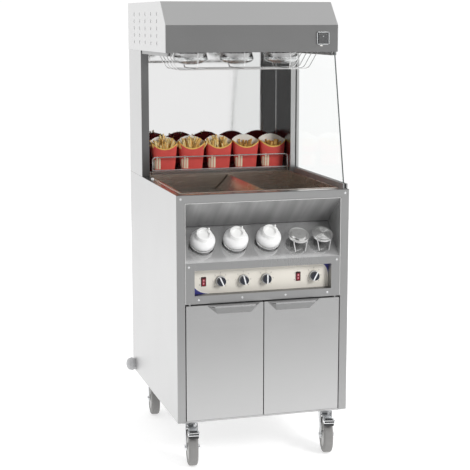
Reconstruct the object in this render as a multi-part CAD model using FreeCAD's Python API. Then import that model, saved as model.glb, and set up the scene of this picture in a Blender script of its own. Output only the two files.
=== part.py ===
import FreeCAD, Part
import math
import os
import random

# French fry dump station: cabinet on casters with a heated basin, a bottle bay, a lamp hood.
# Millimetres. X to the right, Y to the back, Z up. While it is built, y = 0 is the cabinet's
# front face and z = 0 is the floor. At the end all pieces move together along Y, so that the
# origin lies on the floor under the middle of the whole object's box.

# Driving sizes of the cabinet
body_width = 600.0
body_depth = 730.0
floor_clearance = 153.0
worktop_height = 923.0
sheet = 1.5
base_sheet = 2.0
flange = 13.0
overrun = 5.0
seat_gap = 0.3
rest_gap = 0.1
running_gap = 0.05

# Front frame and fascia
stile_width = 28.0
top_strip = 27.0
frame_fold = 20.0
bay_height = 200.0
bay_depth = 118.0
bay_apex_drop = 97.0
bay_strip = 25.5
recess_height = 85.0
recess_side_gap = 60.5
recess_depth = 31.0
lower_strip = 27.5
control_rise = 41.0
plate_lap = 8.0
plate_thickness = 2.0
fascia_fold = 26.0

# Bottles, shakers and their wire holders
bottle_pitch_share = 0.19167
first_bottle_share = 0.33333
shaker_pitch_share = 0.14167
last_shaker_share = 0.36667
bottle_gap = 31.0
bottle_stand_out = 30.0
shoulder_height = 12.0
cap_inset = 16.0
cap_height = 15.0
cap_wall = 9.0
cap_recess_depth = 6.0
cap_tab = 5.0
cap_tab_reach = 9.0
cap_tab_turn = -50.0
well_clearance = 1.5
well_depth = 112.0
holder_wire = 2.0
holder_standoff = 4.4
bottle_ring_height = 9.0
shaker_gap = 16.0
shaker_cap_lap = 8.5
shaker_cap_height = 8.0
shaker_below_ring = 7.4
shaker_ring_y = 40.0
shaker_ring_rise = 33.0
shaker_ring_gap = 5.4
shaker_tilt = 33.0
shaker_dome = 3.0
leg_turn = 45.0
leg_wire = 1.8
leg_inward_share = 0.7

# Controls
rocker_end_gap = 38.5
last_knob_end_gap = 52.5
rocker_to_knob = 58.0
knob_pitch_share = 0.16597
knob_to_rocker = 56.0
knob_radius = 18.0
knob_body_radius = 15.5
knob_skirt = 4.0
knob_height = 21.5
knob_gap = 0.5
pointer_width = 4.0
pointer_rise = 2.5
spindle_radius = 3.0
spindle_length = 17.0
knob_bore_depth = 17.5
thermostat_size = 40.0
thermostat_depth = 34.0
thermostat_neck_radius = 5.0
thermostat_neck_gap = 0.8
knob_angles = (24.0, 14.0, 0.0, -28.0)
rocker_width = 12.4
rocker_height = 26.5
rocker_depth = 11.0
rocker_root = 8.0
rocker_proud = 4.5
rocker_tilt = 6.0
rocker_cut_gap = 1.6
rocker_pin_radius = 1.5
switch_wall = 1.6
switch_depth = 24.0

# Basin, insert, divider
basin_side_gap = 32.0
basin_front = 47.0
basin_rear_zone = 174.0
basin_depth = 97.0
basin_step = 55.0
basin_slope_run = 48.0
rim_width = 8.0
ledge_width = 12.0
insert_depth = 57.0
insert_gap = 2.0
insert_front_gap = 6.0
insert_hole_radius = 4.0
insert_pitch = 39.0
insert_margin = 32.0
divider_x = 34.0
divider_half_width = 50.0
divider_height = 51.0
divider_gap = 10.0
heater_thickness = 6.0
heater_inset = 70.0

# Columns, back, shelf, rail
column_depth = 208.0
mirror_setback = 18.0
hood_underside = 1378.0
shelf_height = 13.0
shelf_depth = 164.0
shelf_gap = 4.0
rail_wire = 2.4
rail_setback = 172.0
rail_left_gap = 19.0
rail_right_gap = 4.0
rail_height = 65.0
rail_low_height = 17.0
rail_bend = 12.0

# Cartons with fries
carton_count = 5
carton_middle_x = 10.0
carton_row_rest = 19.0
carton_gap = 3.0
carton_flare = 22.0
carton_setback = 127.0
carton_bottom_depth = 34.0
carton_top_depth = 54.0
carton_corner_height = 104.0
carton_scoop = 28.0
carton_crown = 19.0
carton_wall = 1.2
carton_corner_radius = 11.0
fries_gap = 0.8
fries_fill = 72.0
fry_size = 7.0
fry_row_pitch = 8.5
fry_length = 58.0
fry_short_share = 0.78
fry_count = 9
fry_edge = 7.0
fry_lean = 7.0
fry_root = 12.0

# Hood
hood_front = 128.0
hood_front_height = 90.0
hood_slope_run = 74.0
hood_height = 168.0
vent_radius = 6.5
vent_back_gap = 109.0
vent_pitch_share = 0.1528
vent_first_z = 29.0
vent_pitch_z = 24.5
vent_count = 5
lamp_setback = 5.0
lamp_pitch_share = 0.275
lamp_count = 3
lamp_drop = 46.0
lamp_radius = 60.0
lamp_length = 170.0
lamp_neck_radius = 19.0
lamp_dome = 20.0
lamp_shoulder = 55.0
lamp_hole_gap = 3.0
socket_radius = 24.0
hood_switch_inset = 53.5
hood_switch_drop = 44.0
hood_switch_width = 40.0
hood_switch_height = 38.0
hood_bezel_proud = 4.0
hood_bezel_wall = 4.5
hood_rocker_gap = 0.8
hood_rocker_proud = 3.0
hood_bezel_depth = 20.0

# Lamp guard
guard_wire = 1.8
guard_drop = 60.0
guard_long_count = 4
guard_half_depth = 78.0
guard_end_run = 34.0
guard_end_gap = 2.0
guard_middle_x = 4.0
guard_bend = 22.0

# Glass side
glass_thickness = 5.0
glass_inset = 12.0
glass_front_low = 18.0
glass_front_high = 123.0
channel_height = 18.0
channel_wall = 6.0
channel_front = 6.0
top_channel_height = 12.0

# Doors
door_gap = 3.0
door_top_gap = 6.0
door_bottom_gap = 4.0
door_thickness = 20.0
door_skin = 1.2
door_flange = 14.0
hinge_inset = 14.0
hinge_setback = 8.0
hinge_pin_radius = 3.95
hinge_block = 13.0
hinge_block_height = 26.0
washer_radius = 7.0
lip_length = 186.0
lip_from_middle = 13.0
lip_reach = 24.0
lip_taper = 22.0
lip_turn = 5.0

# Casters
caster_inset = 58.0
caster_front_y = 55.0
caster_rear_setback = 85.0
caster_trail = 38.0
wheel_radius = 62.5
wheel_width = 32.0
wheel_fillet = 9.0
hub_radius = 40.0
hub_recess = 3.0
hub_boss_radius = 13.0
caster_plate_length = 96.0
caster_plate_width = 84.0
caster_plate_thickness = 3.0
race_radius = 23.0
race_height = 8.0
crown_radius = 25.0
crown_thickness = 6.0
kingpin_radius = 6.0
kingpin_nut_radius = 11.0
kingpin_nut_height = 7.0
fork_leg = 3.0
fork_side_gap = 2.0
fork_front = 26.0
fork_back = 30.0
fork_foot_radius = 13.0
axle_radius = 4.0
axle_nut_radius = 8.0
axle_nut_height = 5.0
plate_bolt_radius = 4.0
plate_bolt_inset = 11.0
plate_bolt_height = 4.0
caster_turns = {"front_left": -8.0, "front_right": -11.0, "rear_left": -6.0, "rear_right": 14.0}
pedal_pivot_back = 16.5
pedal_pivot_drop = 25.5
pedal_pin_radius = 3.0
pedal_eye_radius = 4.5
pedal_width = 31.0
pedal_pad_width = 38.0
pedal_reach = 104.0
pedal_plate = 3.0
pedal_pad_length = 27.0
pedal_pad_height = 4.5
pedal_step_plate = 4.0
pedal_step_length = 16.0
pedal_step_height = 11.0

# Bumpers, gland, screws
bumper_radius = 25.0
bumper_length = 32.0
bumper_height = 22.0
bumper_fillet = 5.0
gland_inset = 100.0
gland_z = 218.0
gland_bore = 5.5
gland_thread_radius = 8.0
gland_flange_radius = 14.0
gland_flange = 4.0
gland_body_radius = 11.0
gland_reach = 22.0
gland_nut = 6.0
screw_radius = 3.6
screw_height = 1.8
screw_fillet = 1.0
screw_inset = 13.0
fascia_screw_shares = (-0.83, -0.28, 0.28, 0.83)

# Sizes that follow from the driving ones
half = body_width / 2
opening_half = half - stile_width
under = floor_clearance
top = worktop_height
bay_top = top - top_strip
bay_bottom = bay_top - bay_height
apex_z = bay_top - bay_apex_drop
recess_top = bay_bottom - bay_strip
recess_bottom = recess_top - recess_height
fascia_bottom = recess_bottom - lower_strip
control_z = recess_bottom + control_rise
plate_y = recess_depth
hood_break = hood_underside + hood_front_height
hood_top = hood_underside + hood_height
column_inner = opening_half
shelf_top = top + shelf_height
door_top = fascia_bottom - door_top_gap
door_bottom = under + base_sheet + door_bottom_gap
hinge_x = opening_half - door_gap - hinge_inset
recess_width = body_width - 2 * recess_side_gap
first_rocker_x = rocker_end_gap - recess_width / 2
first_knob_x = first_rocker_x + rocker_to_knob
second_rocker_x = recess_width / 2 - last_knob_end_gap - knob_to_rocker
knob_spacing = knob_pitch_share * recess_width
bottle_spacing = bottle_pitch_share * body_width
bottle_radius = (bottle_spacing - bottle_gap) / 2
cap_radius = bottle_radius - cap_inset
cap_recess_radius = cap_radius - cap_wall
shaker_spacing = shaker_pitch_share * body_width
shaker_cap_radius = (shaker_spacing - shaker_gap) / 2
shaker_radius = shaker_cap_radius - shaker_cap_lap
basin_width = body_width - 2 * basin_side_gap
basin_back = body_depth - basin_rear_zone
column_front = body_depth - column_depth
mirror_y = body_depth - mirror_setback
shelf_front = body_depth - shelf_depth
rail_y = body_depth - rail_setback
rail_left = rail_left_gap - opening_half
rail_right = opening_half - rail_right_gap
carton_spacing = (2 * opening_half - carton_row_rest) / carton_count
carton_top_width = carton_spacing - carton_gap
carton_bottom_width = carton_top_width - carton_flare
carton_y = body_depth - carton_setback
fry_spread = carton_bottom_width / 2 - fry_edge
vent_pitch_y = vent_pitch_share * (body_depth - hood_front)
vent_first_y = body_depth - vent_back_gap - (vent_count - 1) * vent_pitch_y
lamp_y = (hood_front + column_front) / 2 + lamp_setback
lamp_spacing = lamp_pitch_share * body_width
hood_switch_x = half - hood_switch_inset
guard_end_half_width = opening_half - guard_end_gap
guard_half_width = guard_end_half_width - guard_end_run
caster_x = half - caster_inset
gland_x = half - gland_inset
caster_rear_y = body_depth - caster_rear_setback
floor_rise = apex_z - bay_bottom
floor_angle = math.degrees(math.atan2(floor_rise, bay_depth))
floor_normal = FreeCAD.Vector(0, -math.sin(math.radians(floor_angle)), math.cos(math.radians(floor_angle)))
x_axis = FreeCAD.Vector(1, 0, 0)
y_axis = FreeCAD.Vector(0, 1, 0)
z_axis = FreeCAD.Vector(0, 0, 1)


def vec(x, y, z):
    return FreeCAD.Vector(x, y, z)


def box(x0, x1, y0, y1, z0, z1):
    return Part.makeBox(x1 - x0, y1 - y0, z1 - z0, vec(x0, y0, z0))


def polygon_face(points):
    return Part.Face(Part.makePolygon(points + points[:1]))


def prism_x(outline, x0, x1):
    """An outline of (y, z) points, extruded along X."""
    face = polygon_face([vec(x0, y, z) for y, z in outline])
    return face.extrude(vec(x1 - x0, 0, 0))


def prism_y(outline, y0, y1):
    """An outline of (x, z) points, extruded along Y."""
    face = polygon_face([vec(x, y0, z) for x, z in outline])
    return face.extrude(vec(0, y1 - y0, 0))


def prism_z(outline, z0, z1):
    """An outline of (x, y) points, extruded along Z."""
    face = polygon_face([vec(x, y, z0) for x, y in outline])
    return face.extrude(vec(0, 0, z1 - z0))


def rod(start, direction, radius, length):
    return Part.makeCylinder(radius, length, start, direction)


def join(shapes):
    whole = shapes[0]
    if len(shapes) > 1:
        whole = whole.fuse(shapes[1:])
    return whole.removeSplitter()


def mirrored(shape):
    """The same piece on the other side of the middle plane."""
    return shape.mirror(vec(0, 0, 0), x_axis)


def turned(outline):
    """An outline of (radius, height) points, turned about Z."""
    face = polygon_face([vec(r, 0, h) for r, h in outline])
    return face.revolve(vec(0, 0, 0), z_axis, 360)


def bent_wire(points, radius, bend):
    """A round wire along straight runs, with an arc at each corner."""
    edges = []
    last = points[0]
    for before, corner, after in zip(points, points[1:], points[2:]):
        toward = (before - corner).normalize()
        onward = (after - corner).normalize()
        half_turn = (math.pi - toward.getAngle(onward)) / 2
        setback = bend * math.tan(half_turn)
        start = corner + toward * setback
        end = corner + onward * setback
        bisector = (toward + onward).normalize()
        centre = corner + bisector * (bend / math.cos(half_turn))
        middle = centre - bisector * bend
        edges.append(Part.LineSegment(last, start).toShape())
        edges.append(Part.Arc(start, middle, end).toShape())
        last = end
    edges.append(Part.LineSegment(last, points[-1]).toShape())
    path = Part.Wire(edges)
    profile = Part.Wire(Part.makeCircle(radius, points[0], points[1] - points[0]))
    return path.makePipeShell([profile], True, True)


def on_floor(x):
    """The middle of the bay's sloping floor at x."""
    return vec(x, bay_depth / 2, bay_bottom + floor_rise / 2)


def stand_on_floor(shape, x):
    """Tilt an upright piece so that it stands square on the bay's sloping floor."""
    tilted = shape.rotated(vec(0, 0, 0), x_axis, floor_angle)
    return tilted.translated(on_floor(x))


def bottle_places():
    return [first_bottle_share * -body_width + i * bottle_spacing for i in range(3)]


def shaker_places():
    return [last_shaker_share * body_width - i * shaker_spacing for i in (1, 0)]


def knob_places():
    return [first_knob_x + i * knob_spacing for i in range(3)] + [second_rocker_x + knob_to_rocker]


# Cabinet casings

def side_panel():
    skin = box(-half, -half + sheet, sheet, body_depth, under, top - sheet)
    inner = -half + sheet
    low = under + base_sheet
    high = top - sheet
    front = box(inner, inner + flange, sheet, sheet + sheet, low, high)
    rear = box(inner, inner + flange, body_depth - sheet - sheet, body_depth - sheet, low, high)
    return join([skin, front, rear])


def base_plate():
    plate = box(-half + sheet, half - sheet, sheet, body_depth - sheet, under, under + base_sheet)
    lip = box(-opening_half, opening_half, 0, sheet, under, under + base_sheet)
    plate = join([plate, lip])
    for side in (-1, 1):
        hole = rod(vec(side * hinge_x, hinge_setback, under - overrun), z_axis,
                   hinge_pin_radius + running_gap, base_sheet + 2 * overrun)
        plate = plate.cut(hole)
    return plate


def rear_cover():
    cover = box(-half + sheet, half - sheet, body_depth - sheet, body_depth, under, top - sheet)
    hole = rod(vec(gland_x, body_depth - sheet - overrun, gland_z), y_axis, gland_thread_radius,
               sheet + 2 * overrun)
    return cover.cut(hole)


def front_frame():
    plate = box(-half, half, 0, sheet, under, top - sheet)
    opening = box(-opening_half, opening_half, -overrun, sheet + overrun, under - overrun, bay_top)
    plate = plate.cut(opening)
    low = under + base_sheet
    left = box(-opening_half - sheet, -opening_half, sheet, frame_fold, low, bay_top)
    right = box(opening_half, opening_half + sheet, sheet, frame_fold, low, bay_top)
    above = box(-opening_half - sheet, opening_half + sheet, sheet, frame_fold, bay_top, bay_top + sheet)
    return join([plate, left, right, above])


def fascia():
    """Front panel folded from one sheet: the bottle bay, the control recess and both strips."""
    wall = math.hypot(sheet, sheet)
    outer = prism_x([(0, bay_top), (bay_depth + wall, apex_z), (0, bay_bottom - wall)],
                    -opening_half, opening_half)
    hollow = prism_x([(-overrun, bay_top - wall), (0, bay_top - wall), (bay_depth, apex_z),
                      (0, bay_bottom), (-overrun, bay_bottom)],
                     -opening_half + sheet, opening_half - sheet)
    bay = outer.cut(hollow)
    face = box(-opening_half, opening_half, 0, sheet, fascia_bottom, bay_bottom)
    half_recess = recess_width / 2
    recess = box(-half_recess - sheet, half_recess + sheet, 0, recess_depth,
                 recess_bottom - sheet, recess_top + sheet)
    recess_hollow = box(-half_recess, half_recess, -overrun, recess_depth + overrun,
                        recess_bottom, recess_top)
    fold = box(-opening_half, opening_half, sheet, fascia_fold, fascia_bottom, fascia_bottom + sheet)
    well_radius = bottle_radius + well_clearance
    wells = []
    well_hollows = []
    for x in bottle_places():
        well = rod(on_floor(x), -floor_normal, well_radius + sheet, well_depth + sheet)
        wells.append(well)
        start = on_floor(x) + floor_normal * overrun
        well_hollows.append(rod(start, -floor_normal, well_radius, well_depth + overrun))
    whole = join([bay, face, recess, fold] + wells)
    whole = whole.cut([recess_hollow] + well_hollows)
    for side in (-1, 1):
        hole = rod(vec(side * hinge_x, hinge_setback, fascia_bottom - overrun), z_axis,
                   hinge_pin_radius + running_gap, sheet + 2 * overrun)
        whole = whole.cut(hole)
    return whole


def worktop():
    plate = box(-half, half, 0, body_depth, top - sheet, top)
    half_basin = basin_width / 2 + sheet
    hole = box(-half_basin, half_basin, basin_front - sheet, basin_back + sheet,
               top - sheet - overrun, top + overrun)
    return plate.cut(hole)


# Bottle bay

def place_shaker(shape, x):
    """Tilt an upright piece about the middle of its ring, then bring it to the ring's place."""
    floor_z = bay_bottom + shaker_ring_y * floor_rise / bay_depth
    tilted = shape.rotated(vec(0, 0, 0), x_axis, shaker_tilt)
    return tilted.translated(vec(x, shaker_ring_y, floor_z + shaker_ring_rise))


def bottle_holder(x):
    """A ring close above the floor, on four short legs square to the floor."""
    ring_radius = bottle_radius + holder_standoff
    shapes = [Part.makeTorus(ring_radius, holder_wire, vec(0, 0, bottle_ring_height), z_axis)]
    for i in range(4):
        angle = math.radians(leg_turn + i * 90)
        foot = vec(ring_radius * math.cos(angle), ring_radius * math.sin(angle), 0)
        shapes.append(rod(foot, z_axis, leg_wire, bottle_ring_height))
    return stand_on_floor(join(shapes), x)


def shaker_holder(x):
    """A ring high over the sloping floor, on four legs that drop to it and lean inwards."""
    ring_radius = shaker_radius + holder_wire + shaker_ring_gap
    shapes = [place_shaker(Part.makeTorus(ring_radius, holder_wire), x)]
    for i in range(4):
        angle = math.radians(leg_turn + i * 90)
        point = vec(ring_radius * math.cos(angle), ring_radius * math.sin(angle), 0)
        head = place_shaker(Part.Vertex(point), x).Point
        foot_x = x + (head.x - x) * leg_inward_share
        foot_z = bay_bottom + head.y * floor_rise / bay_depth
        leg = vec(foot_x, head.y, foot_z) - head
        shapes.append(rod(head, leg, leg_wire, leg.Length + holder_wire))
    below = prism_x([(-overrun, bay_bottom - overrun * floor_rise / bay_depth), (bay_depth, apex_z),
                     (bay_depth, bay_bottom - bay_depth), (-overrun, bay_bottom - bay_depth)],
                    -opening_half, opening_half)
    return join(shapes).cut(below)


def wire_holders():
    shapes = [bottle_holder(x) for x in bottle_places()]
    shapes += [shaker_holder(x) for x in shaker_places()]
    return Part.makeCompound(shapes)


def bottle(x):
    foot = -well_depth + seat_gap
    shoulder = bottle_stand_out + shoulder_height
    cap_top = shoulder + cap_height
    body = turned([(0, foot), (bottle_radius, foot), (bottle_radius, bottle_stand_out),
                   (cap_radius, shoulder), (cap_radius, cap_top), (cap_recess_radius, cap_top),
                   (cap_recess_radius, cap_top - cap_recess_depth), (0, cap_top - cap_recess_depth)])
    tab = box(-cap_tab / 2, cap_tab / 2, cap_radius - cap_tab, cap_radius, cap_top - cap_tab_reach / 2,
              cap_top + cap_tab_reach)
    tab = tab.rotated(vec(0, 0, 0), z_axis, cap_tab_turn)
    return stand_on_floor(join([body, tab]), x)


def shaker(x):
    """A low round pot with a wider lid that rests on its ring."""
    low = -shaker_below_ring
    lid_low = holder_wire + seat_gap
    lid_high = lid_low + shaker_cap_height
    edge = shaker_cap_radius - shaker_dome
    body = turned([(0, low), (shaker_radius, low), (shaker_radius, lid_low), (shaker_cap_radius, lid_low),
                   (shaker_cap_radius, lid_high - shaker_dome), (edge, lid_high),
                   (edge - shaker_dome, lid_high), (0, lid_high - shaker_dome)])
    return place_shaker(body, x)


# Controls

def rocker_opening(x, y0, y1):
    half_x = (rocker_width + rocker_cut_gap) / 2
    half_z = rocker_height / 2 + rocker_cut_gap
    return box(x - half_x, x + half_x, y0, y1, control_z - half_z, control_z + half_z)


def control_plate():
    half_width = recess_width / 2 + plate_lap
    plate = box(-half_width, half_width, plate_y, plate_y + plate_thickness,
                recess_bottom - plate_lap, recess_top + plate_lap)
    back = plate_y + plate_thickness + overrun
    for x in knob_places():
        hole = rod(vec(x, plate_y - overrun, control_z), y_axis,
                   thermostat_neck_radius + thermostat_neck_gap, plate_thickness + 2 * overrun)
        plate = plate.cut(hole)
    for x in (first_rocker_x, second_rocker_x):
        plate = plate.cut(rocker_opening(x, plate_y - overrun, back))
    return plate


def control_gear():
    """Thermostat bodies with their spindles, and switch bodies, behind the control plate."""
    shapes = []
    back = plate_y + plate_thickness
    for x in knob_places():
        half_size = thermostat_size / 2
        body = box(x - half_size, x + half_size, back, back + thermostat_depth,
                   control_z - half_size, control_z + half_size)
        neck = rod(vec(x, plate_y, control_z), y_axis, thermostat_neck_radius, plate_thickness)
        spindle = rod(vec(x, plate_y - spindle_length, control_z), y_axis, spindle_radius, spindle_length)
        shapes.append(join([body, neck, spindle]))
    for x in (first_rocker_x, second_rocker_x):
        opening = rocker_opening(x, back - overrun, back + rocker_depth)
        limits = rocker_opening(x, back, back + switch_depth).BoundBox
        body = box(limits.XMin - switch_wall, limits.XMax + switch_wall, back, back + switch_depth,
                   limits.ZMin - switch_wall, limits.ZMax + switch_wall)
        hole = rod(vec(limits.XMin - switch_wall - overrun, rocker_pivot_y(), control_z), x_axis,
                   rocker_pin_radius + running_gap,
                   limits.XLength + 2 * (switch_wall + overrun))
        shapes.append(body.cut([opening, hole]))
    return Part.makeCompound(shapes)


def rocker_pivot_y():
    return plate_y - rocker_proud + rocker_depth


def rocker_shape(x, front, pivot_y, z, width, height, root, pin_length):
    """A two-position rocker, wide at the front, on a pin along X."""
    body = prism_x([(front, z - height / 2), (front + pointer_rise, z),
                    (front, z + height / 2), (pivot_y, z + root), (pivot_y, z - root)],
                   x - width / 2, x + width / 2)
    pin = rod(vec(x - pin_length / 2, pivot_y, z), x_axis, rocker_pin_radius, pin_length)
    whole = join([body, pin])
    return whole.rotated(vec(x, pivot_y, z), x_axis, rocker_tilt)


def panel_rocker(x):
    pin_length = rocker_width + rocker_cut_gap + 2 * switch_wall
    return rocker_shape(x, plate_y - rocker_proud, rocker_pivot_y(), control_z, rocker_width,
                        rocker_height, rocker_root, pin_length)


def knob(x, angle):
    back = plate_y - knob_gap
    profile = turned([(0, 0), (knob_radius, 0), (knob_radius, knob_skirt),
                      (knob_body_radius, knob_skirt), (knob_body_radius - knob_gap, knob_height),
                      (0, knob_height)])
    pointer = box(-pointer_width / 2, pointer_width / 2, -knob_body_radius, knob_body_radius,
                  knob_height - knob_gap, knob_height + pointer_rise)
    bore = rod(vec(0, 0, -overrun), z_axis, spindle_radius + running_gap, knob_bore_depth + overrun)
    whole = join([profile, pointer]).cut(bore)
    whole = whole.rotated(vec(0, 0, 0), z_axis, angle)
    whole = whole.rotated(vec(0, 0, 0), x_axis, 90)
    return whole.translated(vec(x, back, control_z))


# Basin

def basin():
    half_width = basin_width / 2
    floor_z = top - basin_depth
    step_z = top - basin_step
    slope_end = basin_front + basin_slope_run
    inner = prism_x([(basin_front, top + overrun), (basin_front, step_z), (slope_end, floor_z),
                     (basin_back, floor_z), (basin_back, top + overrun)], -half_width, half_width)
    outer = prism_x([(basin_front - sheet, top), (basin_front - sheet, step_z - sheet / 2),
                     (slope_end - sheet / 2, floor_z - sheet), (basin_back + sheet, floor_z - sheet),
                     (basin_back + sheet, top)], -half_width - sheet, half_width + sheet)
    whole = join([outer, basin_rim()]).cut(inner)
    ledge_top = top - insert_depth - sheet
    ledges = []
    for side in (-1, 1):
        edge = side * half_width
        inside = side * (half_width - ledge_width)
        ledges.append(box(min(edge, inside), max(edge, inside), slope_end, basin_back,
                          ledge_top - sheet, ledge_top))
    ledges.append(box(-half_width, half_width, basin_back - ledge_width, basin_back,
                      ledge_top - sheet, ledge_top))
    return join([whole] + ledges)


def basin_rim():
    half_width = basin_width / 2 + rim_width
    return box(-half_width, half_width, basin_front - rim_width, basin_back + rim_width, top, top + sheet)


def insert_bottom():
    return top - insert_depth - sheet + rest_gap


def insert():
    half_width = basin_width / 2 - insert_gap
    front = basin_front + insert_front_gap
    back = basin_back - insert_gap
    bottom = insert_bottom()
    plate = box(-half_width, half_width, front, back, bottom, bottom + sheet)
    across = int((2 * half_width - 2 * insert_margin) // insert_pitch)
    along = int((back - front - 2 * insert_margin) // insert_pitch)
    first_x = -across * insert_pitch / 2
    first_y = (front + back) / 2 - along * insert_pitch / 2
    holes = []
    for i in range(across + 1):
        for j in range(along + 1):
            place = vec(first_x + i * insert_pitch, first_y + j * insert_pitch, bottom - overrun)
            holes.append(rod(place, z_axis, insert_hole_radius, sheet + 2 * overrun))
    return plate.cut(holes)


def divider():
    foot = insert_bottom() + sheet + rest_gap
    ridge = foot + divider_height
    slope = math.hypot(divider_half_width, divider_height)
    inset = sheet * slope / divider_height
    drop = sheet * slope / divider_half_width
    front = basin_front + divider_gap
    back = basin_back - divider_gap
    outer = prism_y([(divider_x - divider_half_width, foot), (divider_x, ridge),
                     (divider_x + divider_half_width, foot)], front, back)
    inner = prism_y([(divider_x - divider_half_width + inset, foot), (divider_x, ridge - drop),
                     (divider_x + divider_half_width - inset, foot)], front - overrun, back + overrun)
    return outer.cut(inner)


def basin_heater():
    under_floor = top - basin_depth - sheet
    half_width = basin_width / 2 - heater_inset
    return box(-half_width, half_width, basin_front + basin_slope_run + heater_inset,
               basin_back - heater_inset, under_floor - heater_thickness, under_floor)


# Columns, mirror, shelf and rail

def column():
    outer = box(-half, -half + sheet, column_front, body_depth, top, hood_underside)
    face = box(-half + sheet, -column_inner, column_front, column_front + sheet, top, hood_underside)
    inner = box(-column_inner - sheet, -column_inner, column_front + sheet, mirror_y, top, hood_underside)
    rear = box(-half + sheet, -half + sheet + flange, body_depth - sheet, body_depth, top, hood_underside)
    return join([outer, face, inner, rear]).cut(basin_rim())


def mirror_panel():
    width = column_inner + sheet
    return box(-width, width, mirror_y, mirror_y + sheet, top, hood_underside)


def carton_shelf():
    half_width = column_inner - shelf_gap
    back = mirror_y - shelf_gap
    plate = box(-half_width, half_width, shelf_front, back, shelf_top - sheet, shelf_top)
    front = box(-half_width, half_width, shelf_front, shelf_front + sheet, top, shelf_top - sheet)
    rear = box(-half_width, half_width, back - sheet, back, top, shelf_top - sheet)
    return join([plate, front, rear])


def carton_rail():
    """One bent wire over two feet, with a lower wire between the feet."""
    foot = top + sheet
    points = [vec(rail_left, rail_y, foot), vec(rail_left, rail_y, top + rail_height),
              vec(rail_right, rail_y, top + rail_height), vec(rail_right, rail_y, foot)]
    hoop = bent_wire(points, rail_wire, rail_bend)
    lower = rod(vec(rail_left, rail_y, top + rail_low_height), x_axis, rail_wire, rail_right - rail_left)
    return join([hoop, lower])


# Cartons with fries

def rounded_outline(width, depth, radius, z):
    """A closed wire: a rectangle of width by depth about the Z axis, with rounded corners."""
    hx = width / 2
    hy = depth / 2
    edges = []
    corners = [(hx, hy), (-hx, hy), (-hx, -hy), (hx, -hy)]
    diagonal = radius * (1 - math.sqrt(0.5))
    for i, (x, y) in enumerate(corners):
        sx = math.copysign(1, x)
        sy = math.copysign(1, y)
        side_x = vec(x, y - sy * radius, z)
        side_y = vec(x - sx * radius, y, z)
        first, second = (side_x, side_y) if i % 2 == 0 else (side_y, side_x)
        middle = vec(x - sx * diagonal, y - sy * diagonal, z)
        edges.append((first, middle, second))
    wire = []
    for i, (first, middle, second) in enumerate(edges):
        wire.append(Part.Arc(first, middle, second).toShape())
        following = edges[(i + 1) % len(edges)][0]
        wire.append(Part.LineSegment(second, following).toShape())
    return Part.Wire(wire)


def carton_loft(inset, low, high):
    """The carton's tapered body between two heights, drawn in by inset all round."""
    full = carton_corner_height + carton_crown
    rings = []
    for z in (low, high):
        share = z / full
        width = carton_bottom_width + (carton_top_width - carton_bottom_width) * share - 2 * inset
        depth = carton_bottom_depth + (carton_top_depth - carton_bottom_depth) * share - 2 * inset
        rings.append(rounded_outline(width, depth, carton_corner_radius - inset, z))
    return Part.makeLoft(rings, True, True)


def carton_shell():
    full = carton_corner_height + carton_crown
    shell = carton_loft(0, 0, full).cut(carton_loft(carton_wall, carton_wall, full + overrun))
    reach = carton_top_width / 2
    scoop_radius = (reach ** 2 + carton_scoop ** 2) / (2 * carton_scoop)
    scoop_z = carton_corner_height - carton_scoop + scoop_radius
    front = rod(vec(0, -carton_top_depth, scoop_z), y_axis, scoop_radius, carton_top_depth)
    crown_radius_here = (reach ** 2 + carton_crown ** 2) / (2 * carton_crown)
    crown_z = full - crown_radius_here
    crown = rod(vec(0, -carton_top_depth, crown_z), y_axis, crown_radius_here, 2 * carton_top_depth)
    below = box(-carton_top_width, carton_top_width, -carton_top_depth, carton_top_depth,
                -overrun, carton_corner_height)
    return shell.cut(front).common(join([crown, below]))


def fries():
    """A filled carton's fries: a packed core and separate sticks that stand out of it, as one solid."""
    core = carton_loft(carton_wall + fries_gap, carton_wall + fries_gap, fries_fill)
    sticks = []
    source = random.Random(carton_count)
    for i in range(fry_count):
        share = (i + 0.5) / fry_count
        x = -fry_spread + 2 * fry_spread * share
        y = fry_row_pitch * (i % 3 - 1)
        lean = fry_lean * (2 * share - 1) + source.uniform(-fry_lean, fry_lean) / 2
        length = fry_length * source.uniform(fry_short_share, 1)
        stick = box(-fry_size / 2, fry_size / 2, -fry_size / 2, fry_size / 2, -fry_root, length - fry_root)
        stick = stick.rotated(vec(0, 0, 0), y_axis, lean)
        sticks.append(stick.translated(vec(x, y, fries_fill)))
    return join([core] + sticks)


def carton(index):
    x = carton_middle_x + (index - (carton_count - 1) / 2) * carton_spacing
    place = vec(x, carton_y, shelf_top + rest_gap)
    return Part.makeCompound([carton_shell().translated(place), fries().translated(place)])


# Hood

def hood_outline(inset, tail):
    slope_height = hood_height - hood_front_height
    slope = math.hypot(hood_slope_run, slope_height)
    lean = inset * (slope - slope_height) / hood_slope_run
    back_lean = inset * (slope - hood_slope_run) / slope_height
    return [(hood_front + inset, hood_underside - tail), (hood_front + inset, hood_break - lean),
            (hood_front + hood_slope_run + back_lean, hood_top - inset),
            (body_depth - inset, hood_top - inset), (body_depth - inset, hood_underside - tail)]


def hood_shell():
    outer = prism_x(hood_outline(0, 0), -half, half)
    inner = prism_x(hood_outline(sheet, overrun), -half - overrun, half + overrun)
    shell = outer.cut(inner)
    return shell.cut(hood_switch_opening(hood_front - overrun, hood_front + sheet + overrun, 0))


def hood_sides():
    plate = prism_x(hood_outline(0, 0), -half - sheet, -half)
    holes = []
    for i in range(vent_count):
        for j in range(vent_count):
            place = vec(-half - sheet - overrun, vent_first_y + i * vent_pitch_y,
                        hood_underside + vent_first_z + j * vent_pitch_z)
            holes.append(rod(place, x_axis, vent_radius, sheet + 2 * overrun))
    left = plate.cut(holes)
    return Part.makeCompound([left, mirrored(left)])


def lamp_places():
    return [(i - (lamp_count - 1) / 2) * lamp_spacing for i in range(lamp_count)]


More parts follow.
